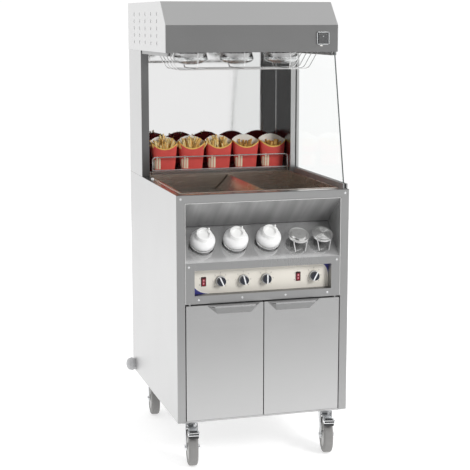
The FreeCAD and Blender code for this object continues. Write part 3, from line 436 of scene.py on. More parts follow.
class Finish:
    """The station's finishes, each made into a material once."""

    # Most steel finishes below are lighter and darker copies of one stainless steel, toned per part
    # and per face direction: painted light and shade on top of their own grain and roughness.
    side = Steel("steel_side", 0.66, 0.38, Axis.Z, 0.03)
    front = Steel("steel_front", 0.42, 0.34, Axis.Z, 0.08)
    fascia = Steel("steel_fascia", 0.40, 0.30, Axis.Z, 0.10)
    # Bay roof, floor and ends: copies of the fascia steel toned by face direction, painted light
    # and shade.
    bay_roof = Steel("steel_bay_roof", 0.42, 0.36, Axis.Z, 0.10, 0.0, 0.0, 1.6, 0.45)
    bay_floor = Steel("steel_bay_floor", 0.56, 0.13, Axis.Z, 0.08, 0.0, 0.0, 0.6, 0.75)
    bay_end = Steel("steel_bay_end", 0.50, 0.36, Axis.Z, 0.08, 0.0, 0.0, 0.0, 0.6)
    # A dark copy for the recess floor under the control plate: painted shade.
    recess = Steel("steel_recess_painted_shade", 0.20, 0.35, Axis.X, 0.05)
    # A dark coat for the rod in the bay's fold: painted shade.
    seal = Coat("crease_shade_bead", (0.10, 0.10, 0.10), 0.5, 0.08, 80.0, 0.1, 600.0)
    door = Steel("steel_door", 0.53, 0.22, Axis.X, 0.03)
    lip = Steel("steel_lip", 0.46, 0.45, Axis.X, 0.04, 0.0, 0.0, 0.0, 0.35)
    # A darker copy of the lip steel for the door lip's fold: painted shade.
    lip_fold = Steel("steel_lip_fold_painted_shade", 0.30, 0.45, Axis.X, 0.04, 0.0, 0.0, 0.0, 0.35)
    lining = Coat("vent_lining", (0.80, 0.80, 0.80), 0.6, 0.04, 60.0, 0.05, 600.0)
    # Hood ends, front and slope: lighter and darker copies of one steel, painted light and shade.
    hood_end = Steel("steel_hood_end_painted_light", 0.74, 0.38, Axis.Z, 0.03)
    hood_front = Steel("steel_hood_front_painted_shade", 0.31, 0.40, Axis.X, 0.05)
    hood_slope = Steel("steel_hood_slope_painted_light", 0.49, 0.40, Axis.X, 0.04)
    top = Steel("steel_top", 0.50, 0.22, Axis.X, 0.05, 0.02)
    # A darker copy of the worktop steel for its front faces: painted shade.
    top_front = Steel("steel_top_front_painted_shade", 0.22, 0.34, Axis.X, 0.06)
    basin = Steel("steel_basin", 0.64, 0.26, Axis.X, 0.06, 0.12, 0.3)
    insert = Steel("steel_insert", 0.50, 0.26, Axis.X, 0.06, 0.03)
    # Column fronts: a dark copy for the left and a light copy for the right, painted shade and
    # painted light.
    column = Steel("steel_column_painted_shade", 0.20, 0.34, Axis.Z, 0.08)
    column_right = Steel("steel_column_right_painted_light", 0.60, 0.34, Axis.Z, 0.12)
    channel = Steel("steel_channel", 0.46, 0.48, Axis.Z, 0.08)
    polished = Steel("steel_polished", 0.84, 0.06, Axis.Z, 0.01, 0.0, 0.05)
    inner = Steel("steel_inner", 0.50, 0.20, Axis.Z, 0.02)
    plain = Steel("steel_plain", 0.55, 0.42, Axis.X, 0.04)
    zinc = Coat("zinc", (0.78, 0.79, 0.80), 0.34, 0.10, 90.0, 0.10, 700.0, 0.6)
    bright_zinc = Coat("bright_zinc", (0.86, 0.87, 0.88), 0.22, 0.06, 90.0, 0.08, 700.0, 1.0)
    chrome = Coat("chrome", (0.90, 0.90, 0.90), 0.07, 0.03, 50.0, 0.02, 400.0, 1.0)
    white = Coat("white_plastic", (0.90, 0.90, 0.90), 0.30, 0.02, 30.0, 0.04, 600.0)
    cap_white = Coat("cap_plastic", (0.92, 0.92, 0.91), 0.36, 0.02, 30.0, 0.06, 900.0)
    film = Coat("panel_film", (0.85, 0.81, 0.73), 0.42, 0.02, 30.0, 0.05, 1400.0)
    navy = Coat("navy_print", (0.05, 0.05, 0.25), 0.40, 0.05, 60.0, 0.03, 900.0)
    pale_print = Coat("pale_print", (0.93, 0.91, 0.86), 0.40, 0.02, 60.0, 0.03, 900.0)
    ink = Coat("ink_print", (0.08, 0.075, 0.07), 0.45, 0.05, 60.0, 0.03, 900.0)
    collar = Coat("knob_collar", (0.42, 0.40, 0.37), 0.45, 0.05, 80.0, 0.05, 800.0)
    dial = Coat("knob_body", (0.010, 0.013, 0.026), 0.24, 0.10, 80.0, 0.06, 900.0, 0.0, 0.2)
    satin = Coat("satin_steel", (0.84, 0.84, 0.83), 0.20, 0.05, 60.0, 0.12, 500.0, 1.0)
    maroon = Coat("rocker_frame", (0.045, 0.006, 0.012), 0.35, 0.05, 80.0, 0.05, 800.0)
    black = Coat("black_plastic", (0.018, 0.019, 0.022), 0.28, 0.10, 80.0, 0.08, 900.0)
    soft_black = Coat("black_pad", (0.03, 0.03, 0.032), 0.55, 0.10, 80.0, 0.30, 500.0)
    pointer = Coat("pointer_silver", (0.86, 0.87, 0.88), 0.25, 0.03, 90.0, 0.05, 900.0)
    red = Coat("red_plastic", (0.22, 0.010, 0.022), 0.22, 0.10, 80.0, 0.03, 800.0, 0.0, 0.3)
    red_window = Coat("red_window", (0.80, 0.28, 0.32), 0.20, 0.05, 80.0, 0.03, 800.0, 0.0, 0.3)
    grey_plastic = Coat("grey_plastic", (0.26, 0.26, 0.26), 0.5, 0.08, 80.0, 0.1, 600.0)
    tyre = Coat("grey_tyre", (0.26, 0.255, 0.25), 0.62, 0.10, 50.0, 0.25, 500.0)
    hub = Coat("grey_hub", (0.62, 0.62, 0.61), 0.42, 0.05, 60.0, 0.08, 700.0)
    bumper = Coat("grey_rubber", (0.60, 0.60, 0.61), 0.66, 0.08, 50.0, 0.25, 600.0)
    mat = Coat("heating_mat", (0.22, 0.07, 0.04), 0.6, 0.1, 60.0, 0.3, 400.0)
    ceramic = Coat("ceramic", (0.82, 0.80, 0.76), 0.45, 0.05, 60.0, 0.1, 500.0)
    silver = Coat("lamp_silver", (0.96, 0.96, 0.96), 0.08, 0.02, 60.0, 1.0, 130.0, 1.0)
    brass = Coat("lamp_brass", (0.70, 0.56, 0.30), 0.3, 0.05, 60.0, 0.05, 500.0, 1.0)
    board = PrintedBoard("carton_front", (0.76, 0.10, 0.085), (0.95, 0.84, 0.62))
    # A darker copy of the board's red for the carton's outer back: painted shade.
    board_back = Coat("carton_back_painted_shade", (0.46, 0.04, 0.045), 0.38, 0.10, 40.0, 0.08, 1500.0)
    board_inside = Coat("carton_inside", (0.90, 0.86, 0.80), 0.6, 0.04, 40.0, 0.15, 900.0)
    board_rim = Coat("carton_rim", (0.95, 0.62, 0.16), 0.45, 0.05, 40.0, 0.08, 1500.0)
    fry_pale = Fried("fry_pale", (0.96, 0.80, 0.46), (0.88, 0.60, 0.20))
    fry_gold = Fried("fry_gold", (0.90, 0.62, 0.22), (0.72, 0.38, 0.09))
    fry_brown = Fried("fry_brown", (0.70, 0.40, 0.12), (0.38, 0.15, 0.03))
    pane = Pane("side_glass", (0.992, 0.998, 0.995), 0.012, 0.20)
    # Opaque dark coat for the pane's edge faces: painted shade.
    pane_edge = Coat("side_glass_edge_painted_shade", (0.11, 0.12, 0.12), 0.25, 0.10, 40.0, 0.02, 300.0)
    bulb = Pane("lamp_glass", (0.97, 0.98, 0.98), 0.34, 0.9, 0.03, 1.0, 140.0)
    boot = Pane("splash_boot", (0.80, 0.81, 0.81), 0.10, 0.9, 0.05, 0.4, 120.0)

    made: dict[str, bpy.types.Material] = {}


def material_of(finish: Steel | Coat | Pane | Fried | PrintedBoard) -> bpy.types.Material:
    """The material of a finish, built on first use.

    Args:
        finish: one of the station's finishes.

    Returns:
        Its material.
    """
    if finish.name not in Finish.made:
        Finish.made[finish.name] = finish.material()
    return Finish.made[finish.name]


# Forms


class Form:
    """One closed form, shaped with bmesh operators."""

    def __init__(self) -> None:
        """Starts empty."""
        self.bm = bmesh.new()

    @classmethod
    def block(cls, low: Point, high: Point, bevel: float = 0.0, segments: int = 2) -> "Form":
        """A box between two corners.

        Args:
            low: its lowest corner.
            high: its highest corner.
            bevel: the width of its rounded edges.
            segments: the steps of the rounding.

        Returns:
            The form.
        """
        form = cls()
        bmesh.ops.create_cube(form.bm, size=1.0)
        size = Vector(high) - Vector(low)
        bmesh.ops.scale(form.bm, vec=size, verts=form.bm.verts)
        bmesh.ops.translate(form.bm, vec=(Vector(low) + Vector(high)) / 2, verts=form.bm.verts)
        return form.soften(bevel, segments) if bevel else form

    @classmethod
    def turned(cls, profile: Sequence[Point], steps: int = 64, closed: bool = False) -> "Form":
        """A profile of (radius, height) points, spun about Z.

        Args:
            profile: the points in order.
            steps: how many steps the full turn has.
            closed: whether the last point joins the first.

        Returns:
            The form.
        """
        form = cls()
        verts = [form.bm.verts.new((radius, 0, height)) for radius, height in profile]
        pairs = list(zip(verts, verts[1:])) + ([(verts[-1], verts[0])] if closed else [])
        edges = [form.bm.edges.new(pair) for pair in pairs]
        bmesh.ops.spin(
            form.bm,
            geom=verts + edges,
            cent=(0, 0, 0),
            axis=(0, 0, 1),
            angle=math.tau,
            steps=steps,
            use_merge=True,
        )
        return form.cleaned(1e-4)

    @classmethod
    def ring(cls, radius: float, wire: float, steps: int = 64, sides: int = 14) -> "Form":
        """A round wire bent to a ring about Z."""
        return cls.turned(arc((radius, 0), wire, 0, 360 - 360 / sides, sides - 1), steps, True)

    @classmethod
    def rod(cls, start: Point, end: Point, radius: float) -> "Form":
        """A round rod with softened ends between two points."""
        way = Vector(end) - Vector(start)
        tip = min(radius, way.length / 3) * 0.5
        profile = [(0, 0), (radius - tip, 0), (radius, tip), (radius, way.length - tip)]
        profile += [(radius - tip, way.length), (0, way.length)]
        turn = way.to_track_quat("Z", "Y").to_matrix().to_4x4()
        return cls.turned(profile, 20).place(Matrix.Translation(Vector(start)) @ turn)

    @classmethod
    def plate(cls, outline: Sequence[Point], low: float, high: float, facing: Axis) -> "Form":
        """A flat outline with a thickness.

        Args:
            outline: its points; (y, z) facing X, (x, z) facing Y, (x, y) facing Z.
            low: where the thickness starts.
            high: where it ends.
            facing: the axis of the thickness.

        Returns:
            The form.
        """
        form = cls()
        face = form.bm.faces.new([form.bm.verts.new((u, v, low)) for u, v in outline])
        grown = bmesh.ops.extrude_face_region(form.bm, geom=[face])["geom"]
        moved = [item for item in grown if isinstance(item, bmesh.types.BMVert)]
        bmesh.ops.translate(form.bm, vec=(0, 0, high - low), verts=moved)
        columns = {
            Axis.X: ((0, 0, 1), (1, 0, 0), (0, 1, 0)),
            Axis.Y: ((1, 0, 0), (0, 0, 1), (0, 1, 0)),
            Axis.Z: ((1, 0, 0), (0, 1, 0), (0, 0, 1)),
        }[facing]
        return form.place(Matrix(columns).to_4x4()).cleaned(1e-5)

    @classmethod
    def copied(cls, node: str) -> "Form":
        """A frame node's own shape, with its loose triangles merged."""
        form = cls()
        form.bm.from_mesh(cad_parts[node].data)
        bmesh.ops.remove_doubles(form.bm, verts=form.bm.verts, dist=2e-6)
        bmesh.ops.dissolve_degenerate(form.bm, edges=form.bm.edges, dist=1e-6)
        bmesh.ops.dissolve_limit(
            form.bm, angle_limit=math.radians(0.6), verts=form.bm.verts, edges=form.bm.edges
        )
        return form

    def cleaned(self, reach: float) -> "Form":
        """Merges doubles and points the faces outwards."""
        bmesh.ops.remove_doubles(self.bm, verts=self.bm.verts, dist=reach)
        bmesh.ops.dissolve_degenerate(self.bm, edges=self.bm.edges, dist=reach)
        bmesh.ops.recalc_face_normals(self.bm, faces=self.bm.faces)
        return self

    def soften(self, width: float, segments: int = 2, angle: float = 32.0) -> "Form":
        """Rounds the edges that are sharper than an angle.

        Args:
            width: the rounding's width.
            segments: its steps.
            angle: the least angle of a rounded edge, in degrees.

        Returns:
            The form itself.
        """
        self.bm.normal_update()
        limit = math.radians(angle)
        edges = [e for e in self.bm.edges if len(e.link_faces) == 2 and e.calc_face_angle() > limit]
        bmesh.ops.bevel(
            self.bm,
            geom=edges,
            offset=width,
            offset_type="OFFSET",
            segments=segments,
            profile=0.5,
            affect="EDGES",
            clamp_overlap=True,
            material=-1,
        )
        return self

    def place(self, matrix: Matrix) -> "Form":
        """Turns, scales and moves the form."""
        bmesh.ops.transform(self.bm, matrix=matrix, verts=self.bm.verts)
        return self

    def at_home(self) -> "Form":
        """Places a form that is drawn in the station's own millimetres."""
        return self.place(stand(0, 0, 0))

    def paint(self, index: int, where: FaceTest | None = None) -> "Form":
        """Gives faces a material index.

        Args:
            index: the place in the piece's list of finishes.
            where: a test of a face's normal and middle; all faces without it.

        Returns:
            The form itself.
        """
        self.bm.normal_update()
        for face in self.bm.faces:
            if where is None or where(face.normal, face.calc_center_median()):
                face.material_index = index
        return self


def assemble(
    name: str,
    forms: Iterable[Form],
    finishes: Sequence[Steel | Coat | Pane | Fried | PrintedBoard],
    body: str,
    replaces: Sequence[str] = (),
    smooth: float = 40.0,
) -> bpy.types.Object:
    """Joins forms into one piece that rides on a body.

    Args:
        name: the piece's name.
        forms: its forms, already in place, in metres.
        finishes: its finishes, in the order of the forms' material indices.
        body: the body that it rides on.
        replaces: the frame nodes that it stands for.
        smooth: edges under this many degrees are shaded smooth.

    Returns:
        The piece.
    """
    whole = bmesh.new()
    for form in forms:
        part = bpy.data.meshes.new("part")
        form.bm.to_mesh(part)
        form.bm.free()
        whole.from_mesh(part)
        bpy.data.meshes.remove(part)
    mesh = bpy.data.meshes.new(name)
    whole.to_mesh(mesh)
    whole.free()
    for finish in finishes:
        mesh.materials.append(material_of(finish))
    mesh.shade_smooth()
    mesh.set_sharp_from_angle(angle=math.radians(smooth))
    piece = bpy.data.objects.new(name, mesh)
    bpy.context.scene.collection.objects.link(piece)
    weighted = piece.modifiers.new("weighted normals", "WEIGHTED_NORMAL")
    weighted.mode = "FACE_AREA"
    weighted.keep_sharp = True
    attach(piece, body)
    if replaces:
        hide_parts(*replaces)
    LOG.info("%s: %d faces on %s", name, len(mesh.polygons), body)
    return piece


def dress_node(node: str, finish: Steel | Coat | Pane) -> None:
    """Gives a frame node that stays visible its material."""
    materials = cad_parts[node].data.materials
    materials.clear()
    materials.append(material_of(finish))


# The station's sub-assemblies


@dataclass
class Casings:
    """The cabinet's sheet-metal casings, with softened folds."""

    fold: float = 0.7 * MM
    facing: float = 0.5
    behind_front: float = 3 * MM
    bay_roof_above: float = 0.79
    bay_floor_below: float = 0.80
    bay_ends_above: float = 0.70
    recess_below: float = 0.60
    lip_above: float = 0.54
    bead_radius: float = 1.5
    bead_x: float = 271.2
    bead_y: float = 711.2
    bead_heights: tuple[float, float] = (925.0, 1377.0)
    # Where the dark rod of painted shade lies along the bay's fold.
    seal_half: float = 270.0
    seal_y: float = 117.2
    seal_z: float = 799.0
    seal_radius: float = 1.3

    def sheet(
        self,
        node: str,
        finishes: Sequence[Steel | Coat],
        tests: Sequence[FaceTest] = (),
        body: str = "cabinet",
    ) -> None:
        """Dresses one casing as a copy with softened folds.

        Args:
            node: the frame node.
            finishes: its finishes; the first is for faces that pass no test.
            tests: one test of a face for each further finish.
            body: the body that it rides on.
        """
        form = Form.copied(node)
        for i, test in enumerate(tests):
            form.paint(i + 1, test)
        form.soften(self.fold)
        assemble(f"{node}_casing", [form], finishes, body, [node])

    def lip_fold(self, side: str, sign: int) -> None:
        """Builds the fold that runs from a door lip's front edge down and back to the door.

        Args:
            side: left or right.
            sign: the side of the middle plane, -1 or 1.
        """
        form = Form()
        corners = [(14, -0.3, 550.3), (198, -0.3, 550.3), (36, -23.8, 547.2), (176, -23.8, 547.2)]
        for x, y, z in corners + [(44, -0.3, 521), (162, -0.3, 521)]:
            form.bm.verts.new((sign * x, y, z))
        bmesh.ops.convex_hull(form.bm, input=form.bm.verts)
        form.soften(0.5).at_home()
        # The fold takes a darker copy of the lip steel: painted shade on a face that looks down.
        assemble(f"door_{side}_lip_fold", [form], [Finish.lip_fold], f"door_{side}")

    def strips(self, x: Point, low: Point, high: Point, bevel: float) -> list[Form]:
        """A pair of strips, one on each side of the middle plane.

        Args:
            x: their inner and outer distance from the middle plane.
            low: their lowest y and z.
            high: their highest y and z.
            bevel: the width of their rounded edges.

        Returns:
            The left strip and the right one.
        """
        forms = []
        for side in (-1, 1):
            first, last = sorted((side * x[0], side * x[1]))
            forms.append(Form.block((first, *low), (last, *high), bevel).at_home())
        return forms

    def trims(self) -> None:
        """Builds the beads, strips, sill and vent linings that finish the casings, with painted
        highlight strips on the opening's edges and a dark rod of painted shade along the bay's
        fold.
        """
        radius, (low, high) = self.bead_radius, self.bead_heights
        beads = []
        for side in (-1, 1):
            bead = Form.turned([(0, low), (radius, low), (radius, high), (0, high)], 20)
            beads.append(bead.place(stand(side * self.bead_x, self.bead_y, 0)))
        assemble("mirror_beads", beads, [Finish.chrome], "cabinet", (), 40.0)
        trim = Form.block((266.8, 520.4, 926), (272.4, 522.4, 1376), 0.6).at_home()
        assemble("column_trim", [trim], [Finish.column_right], "cabinet")
        # Light satin strips along the opening's edges: painted highlights, lighter copies of the
        # steel where the folds catch the light.
        edges = self.strips((269.6, 271.8), (-0.5, 560), (1.2, 895.5), 0.5)
        edges.append(Form.block((-271.8, -0.5, 893.4), (271.8, 1.2, 895.8), 0.5).at_home())
        assemble("opening_edge_highlights", edges, [Finish.satin], "cabinet", (), 30.0)
        sill = Form.block((-271, 0.3, 154.6), (271, 3.0, 158.6), 0.4).at_home()
        assemble("door_sill", [sill], [Finish.door], "cabinet")
        linings = self.strips((298.6, 299.8), (225, 1390), (660, 1524), 0.3)
        assemble("vent_linings", linings, [Finish.lining], "cabinet")
        # A dark rod along the bay's fold: painted shade where the crease looks dark.
        ends = [(side * self.seal_half, self.seal_y, self.seal_z) for side in (-1, 1)]
        seal = Form.rod(*ends, self.seal_radius).at_home()
        assemble("fold_crease_shade", [seal], [Finish.seal], "cabinet", (), 40.0)

    def build(self) -> None:
        """Builds all casings."""
        self.sheet("side_panel_left", [Finish.side])
        self.sheet("side_panel_right", [Finish.side])
        self.sheet("front_frame", [Finish.front])
        facing = self.facing
        # The worktop's front faces take a darker copy of its steel: painted shade.
        self.sheet("worktop", [Finish.top, Finish.top_front], tests=[lambda n, c: n.y < -facing])
        inside = FRONT + self.behind_front
        # The bay's roof, floor and ends take lighter and darker copies of the fascia steel, painted
        # light and shade, and the recess floor under the control plate a dark copy, painted shade.
        self.sheet(
            "fascia",
            [Finish.fascia, Finish.bay_roof, Finish.bay_floor, Finish.bay_end, Finish.recess],
            tests=[
                lambda n, c: (
                    n.z < -0.4 and n.y < -0.2 and c.y > inside and c.z > self.bay_roof_above
                ),
                lambda n, c: (
                    n.z > 0.4 and n.y < -0.2 and c.y > inside and c.z < self.bay_floor_below
                ),
                lambda n, c: abs(n.x) > 0.9 and c.y > inside and c.z > self.bay_ends_above,
                lambda n, c: n.z > 0.9 and c.y > inside and c.z < self.recess_below,
            ],
        )
        self.sheet("carton_shelf", [Finish.top])
        for side, sign in (("left", -1), ("right", 1)):
            # The left column's front takes the dark copy and the right one's the light copy, and
            # the outer and inner faces further copies: painted shade and light on two mirrored
            # columns.
            self.sheet(
                f"column_{side}",
                [Finish.column if sign < 0 else Finish.column_right, Finish.side, Finish.inner],
                tests=[
                    lambda n, c, s=sign: n.x * s > facing,
                    lambda n, c, s=sign: n.x * s < -facing,
                ],
            )
            self.sheet(
                f"door_{side}",
                [Finish.door, Finish.lip],
                body=f"door_{side}",
                tests=[lambda n, c: n.z > facing and c.z > self.lip_above],
            )
            self.lip_fold(side, sign)
        # The hood's front takes a darker copy of its steel, the slope and the ends lighter copies:
        # painted shade and painted light.
        self.sheet(
            "hood_shell",
            [Finish.hood_front, Finish.hood_slope],
            tests=[lambda n, c: n.z > 0.3],
        )
        self.sheet("hood_sides", [Finish.hood_end])
        self.sheet("lamp_panel", [Finish.plain])
        self.sheet("basin", [Finish.basin])
        self.sheet("rear_cover", [Finish.side])
        self.sheet("glass_channels", [Finish.channel])
        self.sheet("insert", [Finish.insert], body="insert")
        self.sheet("divider", [Finish.basin], body="divider")
        self.sheet("mirror_panel", [Finish.polished])
        self.trims()
        dress_node("base_plate", Finish.plain)
        dress_node("control_gear", Finish.grey_plastic)
        dress_node("basin_heater", Finish.mat)


@dataclass
class Wires:
    """The chrome wirework, the small parts and the rear bumpers."""

    fold: float = 0.5 * MM

    def build(self) -> None:
        """Dresses each as a merged copy, so that round wires are shaded smooth."""
        for node in ("carton_rail", "lamp_guard"):
            assemble(f"{node}_wire", [Form.copied(node)], [Finish.chrome], "cabinet",
                     [node], 60.0)
        copies = [("cable_gland", Finish.black, "black_plastic"),
                  ("caster_plates", Finish.zinc, "bare_steel")]
        for node, finish, slot in copies:
            form = Form.copied(node).soften(self.fold)
            assemble(f"{node}_shape", [form], [finish], "cabinet", [node], 50.0)
        self.bumpers()

    def bumpers(self) -> None:
        """Builds the two rear bumpers: a stem and a ridged dome of soft rubber."""
        dome = arc((19, 12), 6, 0, 30, 3) + [(22.5, 17.5), (23.0, 19.0)]
        dome += arc((17.5, 20), 5, 0, 50, 4)
        dome += [(18.5, 25.2), (18.3, 26.8), (15, 28.6), (13.5, 28.2), (12.5, 29.6), (6, 31.4),
                 (0, 31.9)]
        profile = [(0, 0), (21, 0), (21.5, 3), (22.5, 5), (25, 8)] + dome
        forms = []
        for side in (-1, 1):
            turn = Matrix.Rotation(side * math.pi / 2, 4, "Y")
            forms.append(Form.turned(profile).place(stand(side * 300.0, 705.0, 175.0) @ turn))
        assemble("side_bumper_domes", forms, [Finish.bumper], "cabinet",
                 ["side_bumpers"], 35.0)


@dataclass
class Holders:
    """The chrome rings on legs that hold the bottles and the shakers in the bay."""

    bottle_xs: tuple[float, ...] = (-200.0, -85.0, 30.0)
    shaker_xs: tuple[float, ...] = (135.0, 220.0)
    bottle_ring: float = 41.0
    ring_height: float = 9.0
    shaker_ring: float = 34.4
    wire: float = 2.0
    shaker_tilt: float = 33.0
    lean: float = 0.7

    def bottle_holder(self, x: float) -> list[Form]:
        """A ring close above the floor, on four legs with rounded clips."""
        where = stand(x, 59.0, 747.5, 41.117)
        lifted = Matrix.Translation((0, 0, self.ring_height))
        forms = [Form.ring(self.bottle_ring, self.wire).place(lifted)]
        for i in range(4):
            angle = math.radians(45 + 90 * i)
            foot = (self.bottle_ring * math.cos(angle), self.bottle_ring * math.sin(angle))
            forms.append(Form.rod((*foot, 0), (*foot, self.ring_height), self.wire - 0.2))
            clip = arc((0, 0), 3.0, -90, 90, 10)
            forms.append(Form.turned(clip, 24).place(Matrix.Translation((*foot, self.ring_height))))
        return [form.place(where) for form in forms]

    def shaker_holder(self, x: float) -> list[Form]:
        """A ring high over the sloping floor, on four legs that lean inwards."""
        tilt = Matrix.Rotation(math.radians(self.shaker_tilt), 4, "X")
        placed = Matrix.Translation((x, 40.0, 763.9)) @ tilt
        forms = [Form.ring(self.shaker_ring, self.wire).place(placed)]
        for i in range(4):
            angle = math.radians(45 + 90 * i)
            head = placed @ Vector((self.shaker_ring * math.cos(angle),
                                    self.shaker_ring * math.sin(angle), 0))
            foot = (x + (head.x - x) * self.lean, head.y, 696.0 + head.y * 103 / 118)
            forms.append(Form.rod(foot, head, self.wire - 0.2))
        return [form.at_home() for form in forms]

    def build(self) -> None:
        """Builds all the holders as one piece of wirework."""
        forms = [form for x in self.bottle_xs for form in self.bottle_holder(x)]
        forms += [form for x in self.shaker_xs for form in self.shaker_holder(x)]
        assemble("wire_holders_wire", forms, [Finish.chrome], "cabinet", ["wire_holders"],
                 60.0)


@dataclass
class Bottle:
    """A white dispensing bottle, held nose up on the sloping floor."""

    number: int
    x: float
    radius: float = 42.0
    well_depth: float = 111.0
    waist: float = 36.5
    bulge_low: float = 6.0
    bulge_high: float = 19.0
    stand_out: float = 25.0
    shoulder_top: float = 42.0
    cap_radius: float = 27.0
    cap_top: float = 57.0
    recess_radius: float = 17.5
    recess_depth: float = 7.0
    floor_y: float = 59.0
    floor_z: float = 747.5
    tilt: float = 41.117

    def profile(self) -> list[Point]:
        """The bottle's body from its foot to the neck under the cap."""
        rise = self.shoulder_top - self.stand_out
        run = self.radius - self.cap_radius + 1.0
        dome = [
            (self.radius - run * (1 - math.cos(a)), self.stand_out + rise * math.sin(a))
            for a in [math.pi / 2 * i / 12 for i in range(13)]
        ]
        swell = [
            (self.waist + (self.radius - self.waist) * (0.5 - 0.5 * math.cos(math.pi * i / 8)),
             self.bulge_low + (self.bulge_high - self.bulge_low) * i / 8)
            for i in range(9)
        ]
        foot = [(0, -self.well_depth), (self.waist - 4, -self.well_depth),
                (self.waist, -self.well_depth + 4)]
        return foot + swell + dome + [(0, self.shoulder_top)]

    def cap_profile(self) -> list[Point]:
        """The cap with its rounded rim and recessed middle."""
        low = self.shoulder_top - 1.0
        top = self.cap_top
        outer = arc((self.cap_radius - 2.2, top - 2.2), 2.2, 0, 90, 5)
        inner = arc((self.recess_radius + 1.5, top - 1.5), 1.5, 90, 180, 4)
        well = arc((self.recess_radius - 3, top - self.recess_depth + 3), 3, 0, -90, 5)
        foot = [(0, low), (self.cap_radius + 0.6, low)]
        return foot + outer + inner + well + [(0, top - self.recess_depth)]

    def build(self) -> None:
        """Builds the body, the cap with its tab, and a fine parting line."""
        where = stand(self.x, self.floor_y, self.floor_z, self.tilt)
        body = Form.turned(self.profile()).place(where)
        cap = Form.turned(self.cap_profile()).place(where)
        shoulder = where @ Matrix.Translation((0, 0, self.shoulder_top))
        bead = Form.ring(self.cap_radius + 0.7, 0.6).place(shoulder)
        tab = Form.block((-2.6, 20.0, 49.0), (2.6, 25.5, 66.0), 1.3, 3)
        tab.place(where @ Matrix.Rotation(math.radians(-50), 4, "Z"))
        name = f"bottle_{self.number}"
        assemble(f"{name}_shape", [body], [Finish.white], name, [name], 30.0)
        assemble(f"{name}_cap", [cap, bead, tab], [Finish.cap_white], name, (),
                 30.0)


@dataclass
class Shaker:
    """A low shaker with a ridged lid that rests on its wire ring."""

    number: int
    x: float
    ridged: bool
    y: float = 40.0
    z: float = 763.9
    tilt: float = 33.0
    pot_radius: float = 26.0
    pot_depth: float = 7.4
    lid_radius: float = 37.0
    lid_low: float = 2.4
    lid_high: float = 10.0

    def profile(self) -> list[Point]:
        """The pot and its lid, which has rounded ridges or one raised flat disc."""
        points = [(0, -self.pot_depth), (self.pot_radius - 2, -self.pot_depth)]
        points += [(self.pot_radius, -self.pot_depth + 2), (self.pot_radius, self.lid_low)]
        points += arc((self.lid_radius - 2.2, self.lid_low + 2.2), 2.2, -70, 90, 7)
        if self.ridged:
            for i in range(5):
                middle = 29.5 - 6.0 * i
                points += arc((middle, 5.4 + 0.7 * i), 1.8, 10, 170, 6)
            return points + [(0, self.lid_high - 2.4)]
        points += [(31.5, 5.0), (28.5, 4.6), (26.0, 7.8)] + arc((23.6, 8.2), 1.8, 0, 90, 4)
        return points + [(21.8, 9.4), (0, self.lid_high - 0.8)]

    def build(self) -> None:
        """Builds the shaker and dark discs on its lid, painted shade in place of the holes."""
        where = stand(self.x, self.y, self.z, self.tilt)
        name = f"shaker_{self.number}"
        forms = [Form.turned(self.profile()).place(where)]
        height = self.lid_high - (2.6 if self.ridged else 1.0)
        for i in range(1 if self.ridged else 7):
            angle = math.tau * i / 6
            reach = 5.0 if i else 0.0
            # Each hole is a dark disc on the lid: painted shade in place of an open hole.
            hole_shade_disc = Form.turned([(0, 0), (1.1, 0), (1.1, 0.4), (0, 0.4)], 12).paint(1)
            middle = (reach * math.cos(angle), reach * math.sin(angle), height)
            forms.append(hole_shade_disc.place(where @ Matrix.Translation(middle)))
        assemble(f"{name}_shape", forms, [Finish.satin, Finish.ink], name, [name], 30.0)


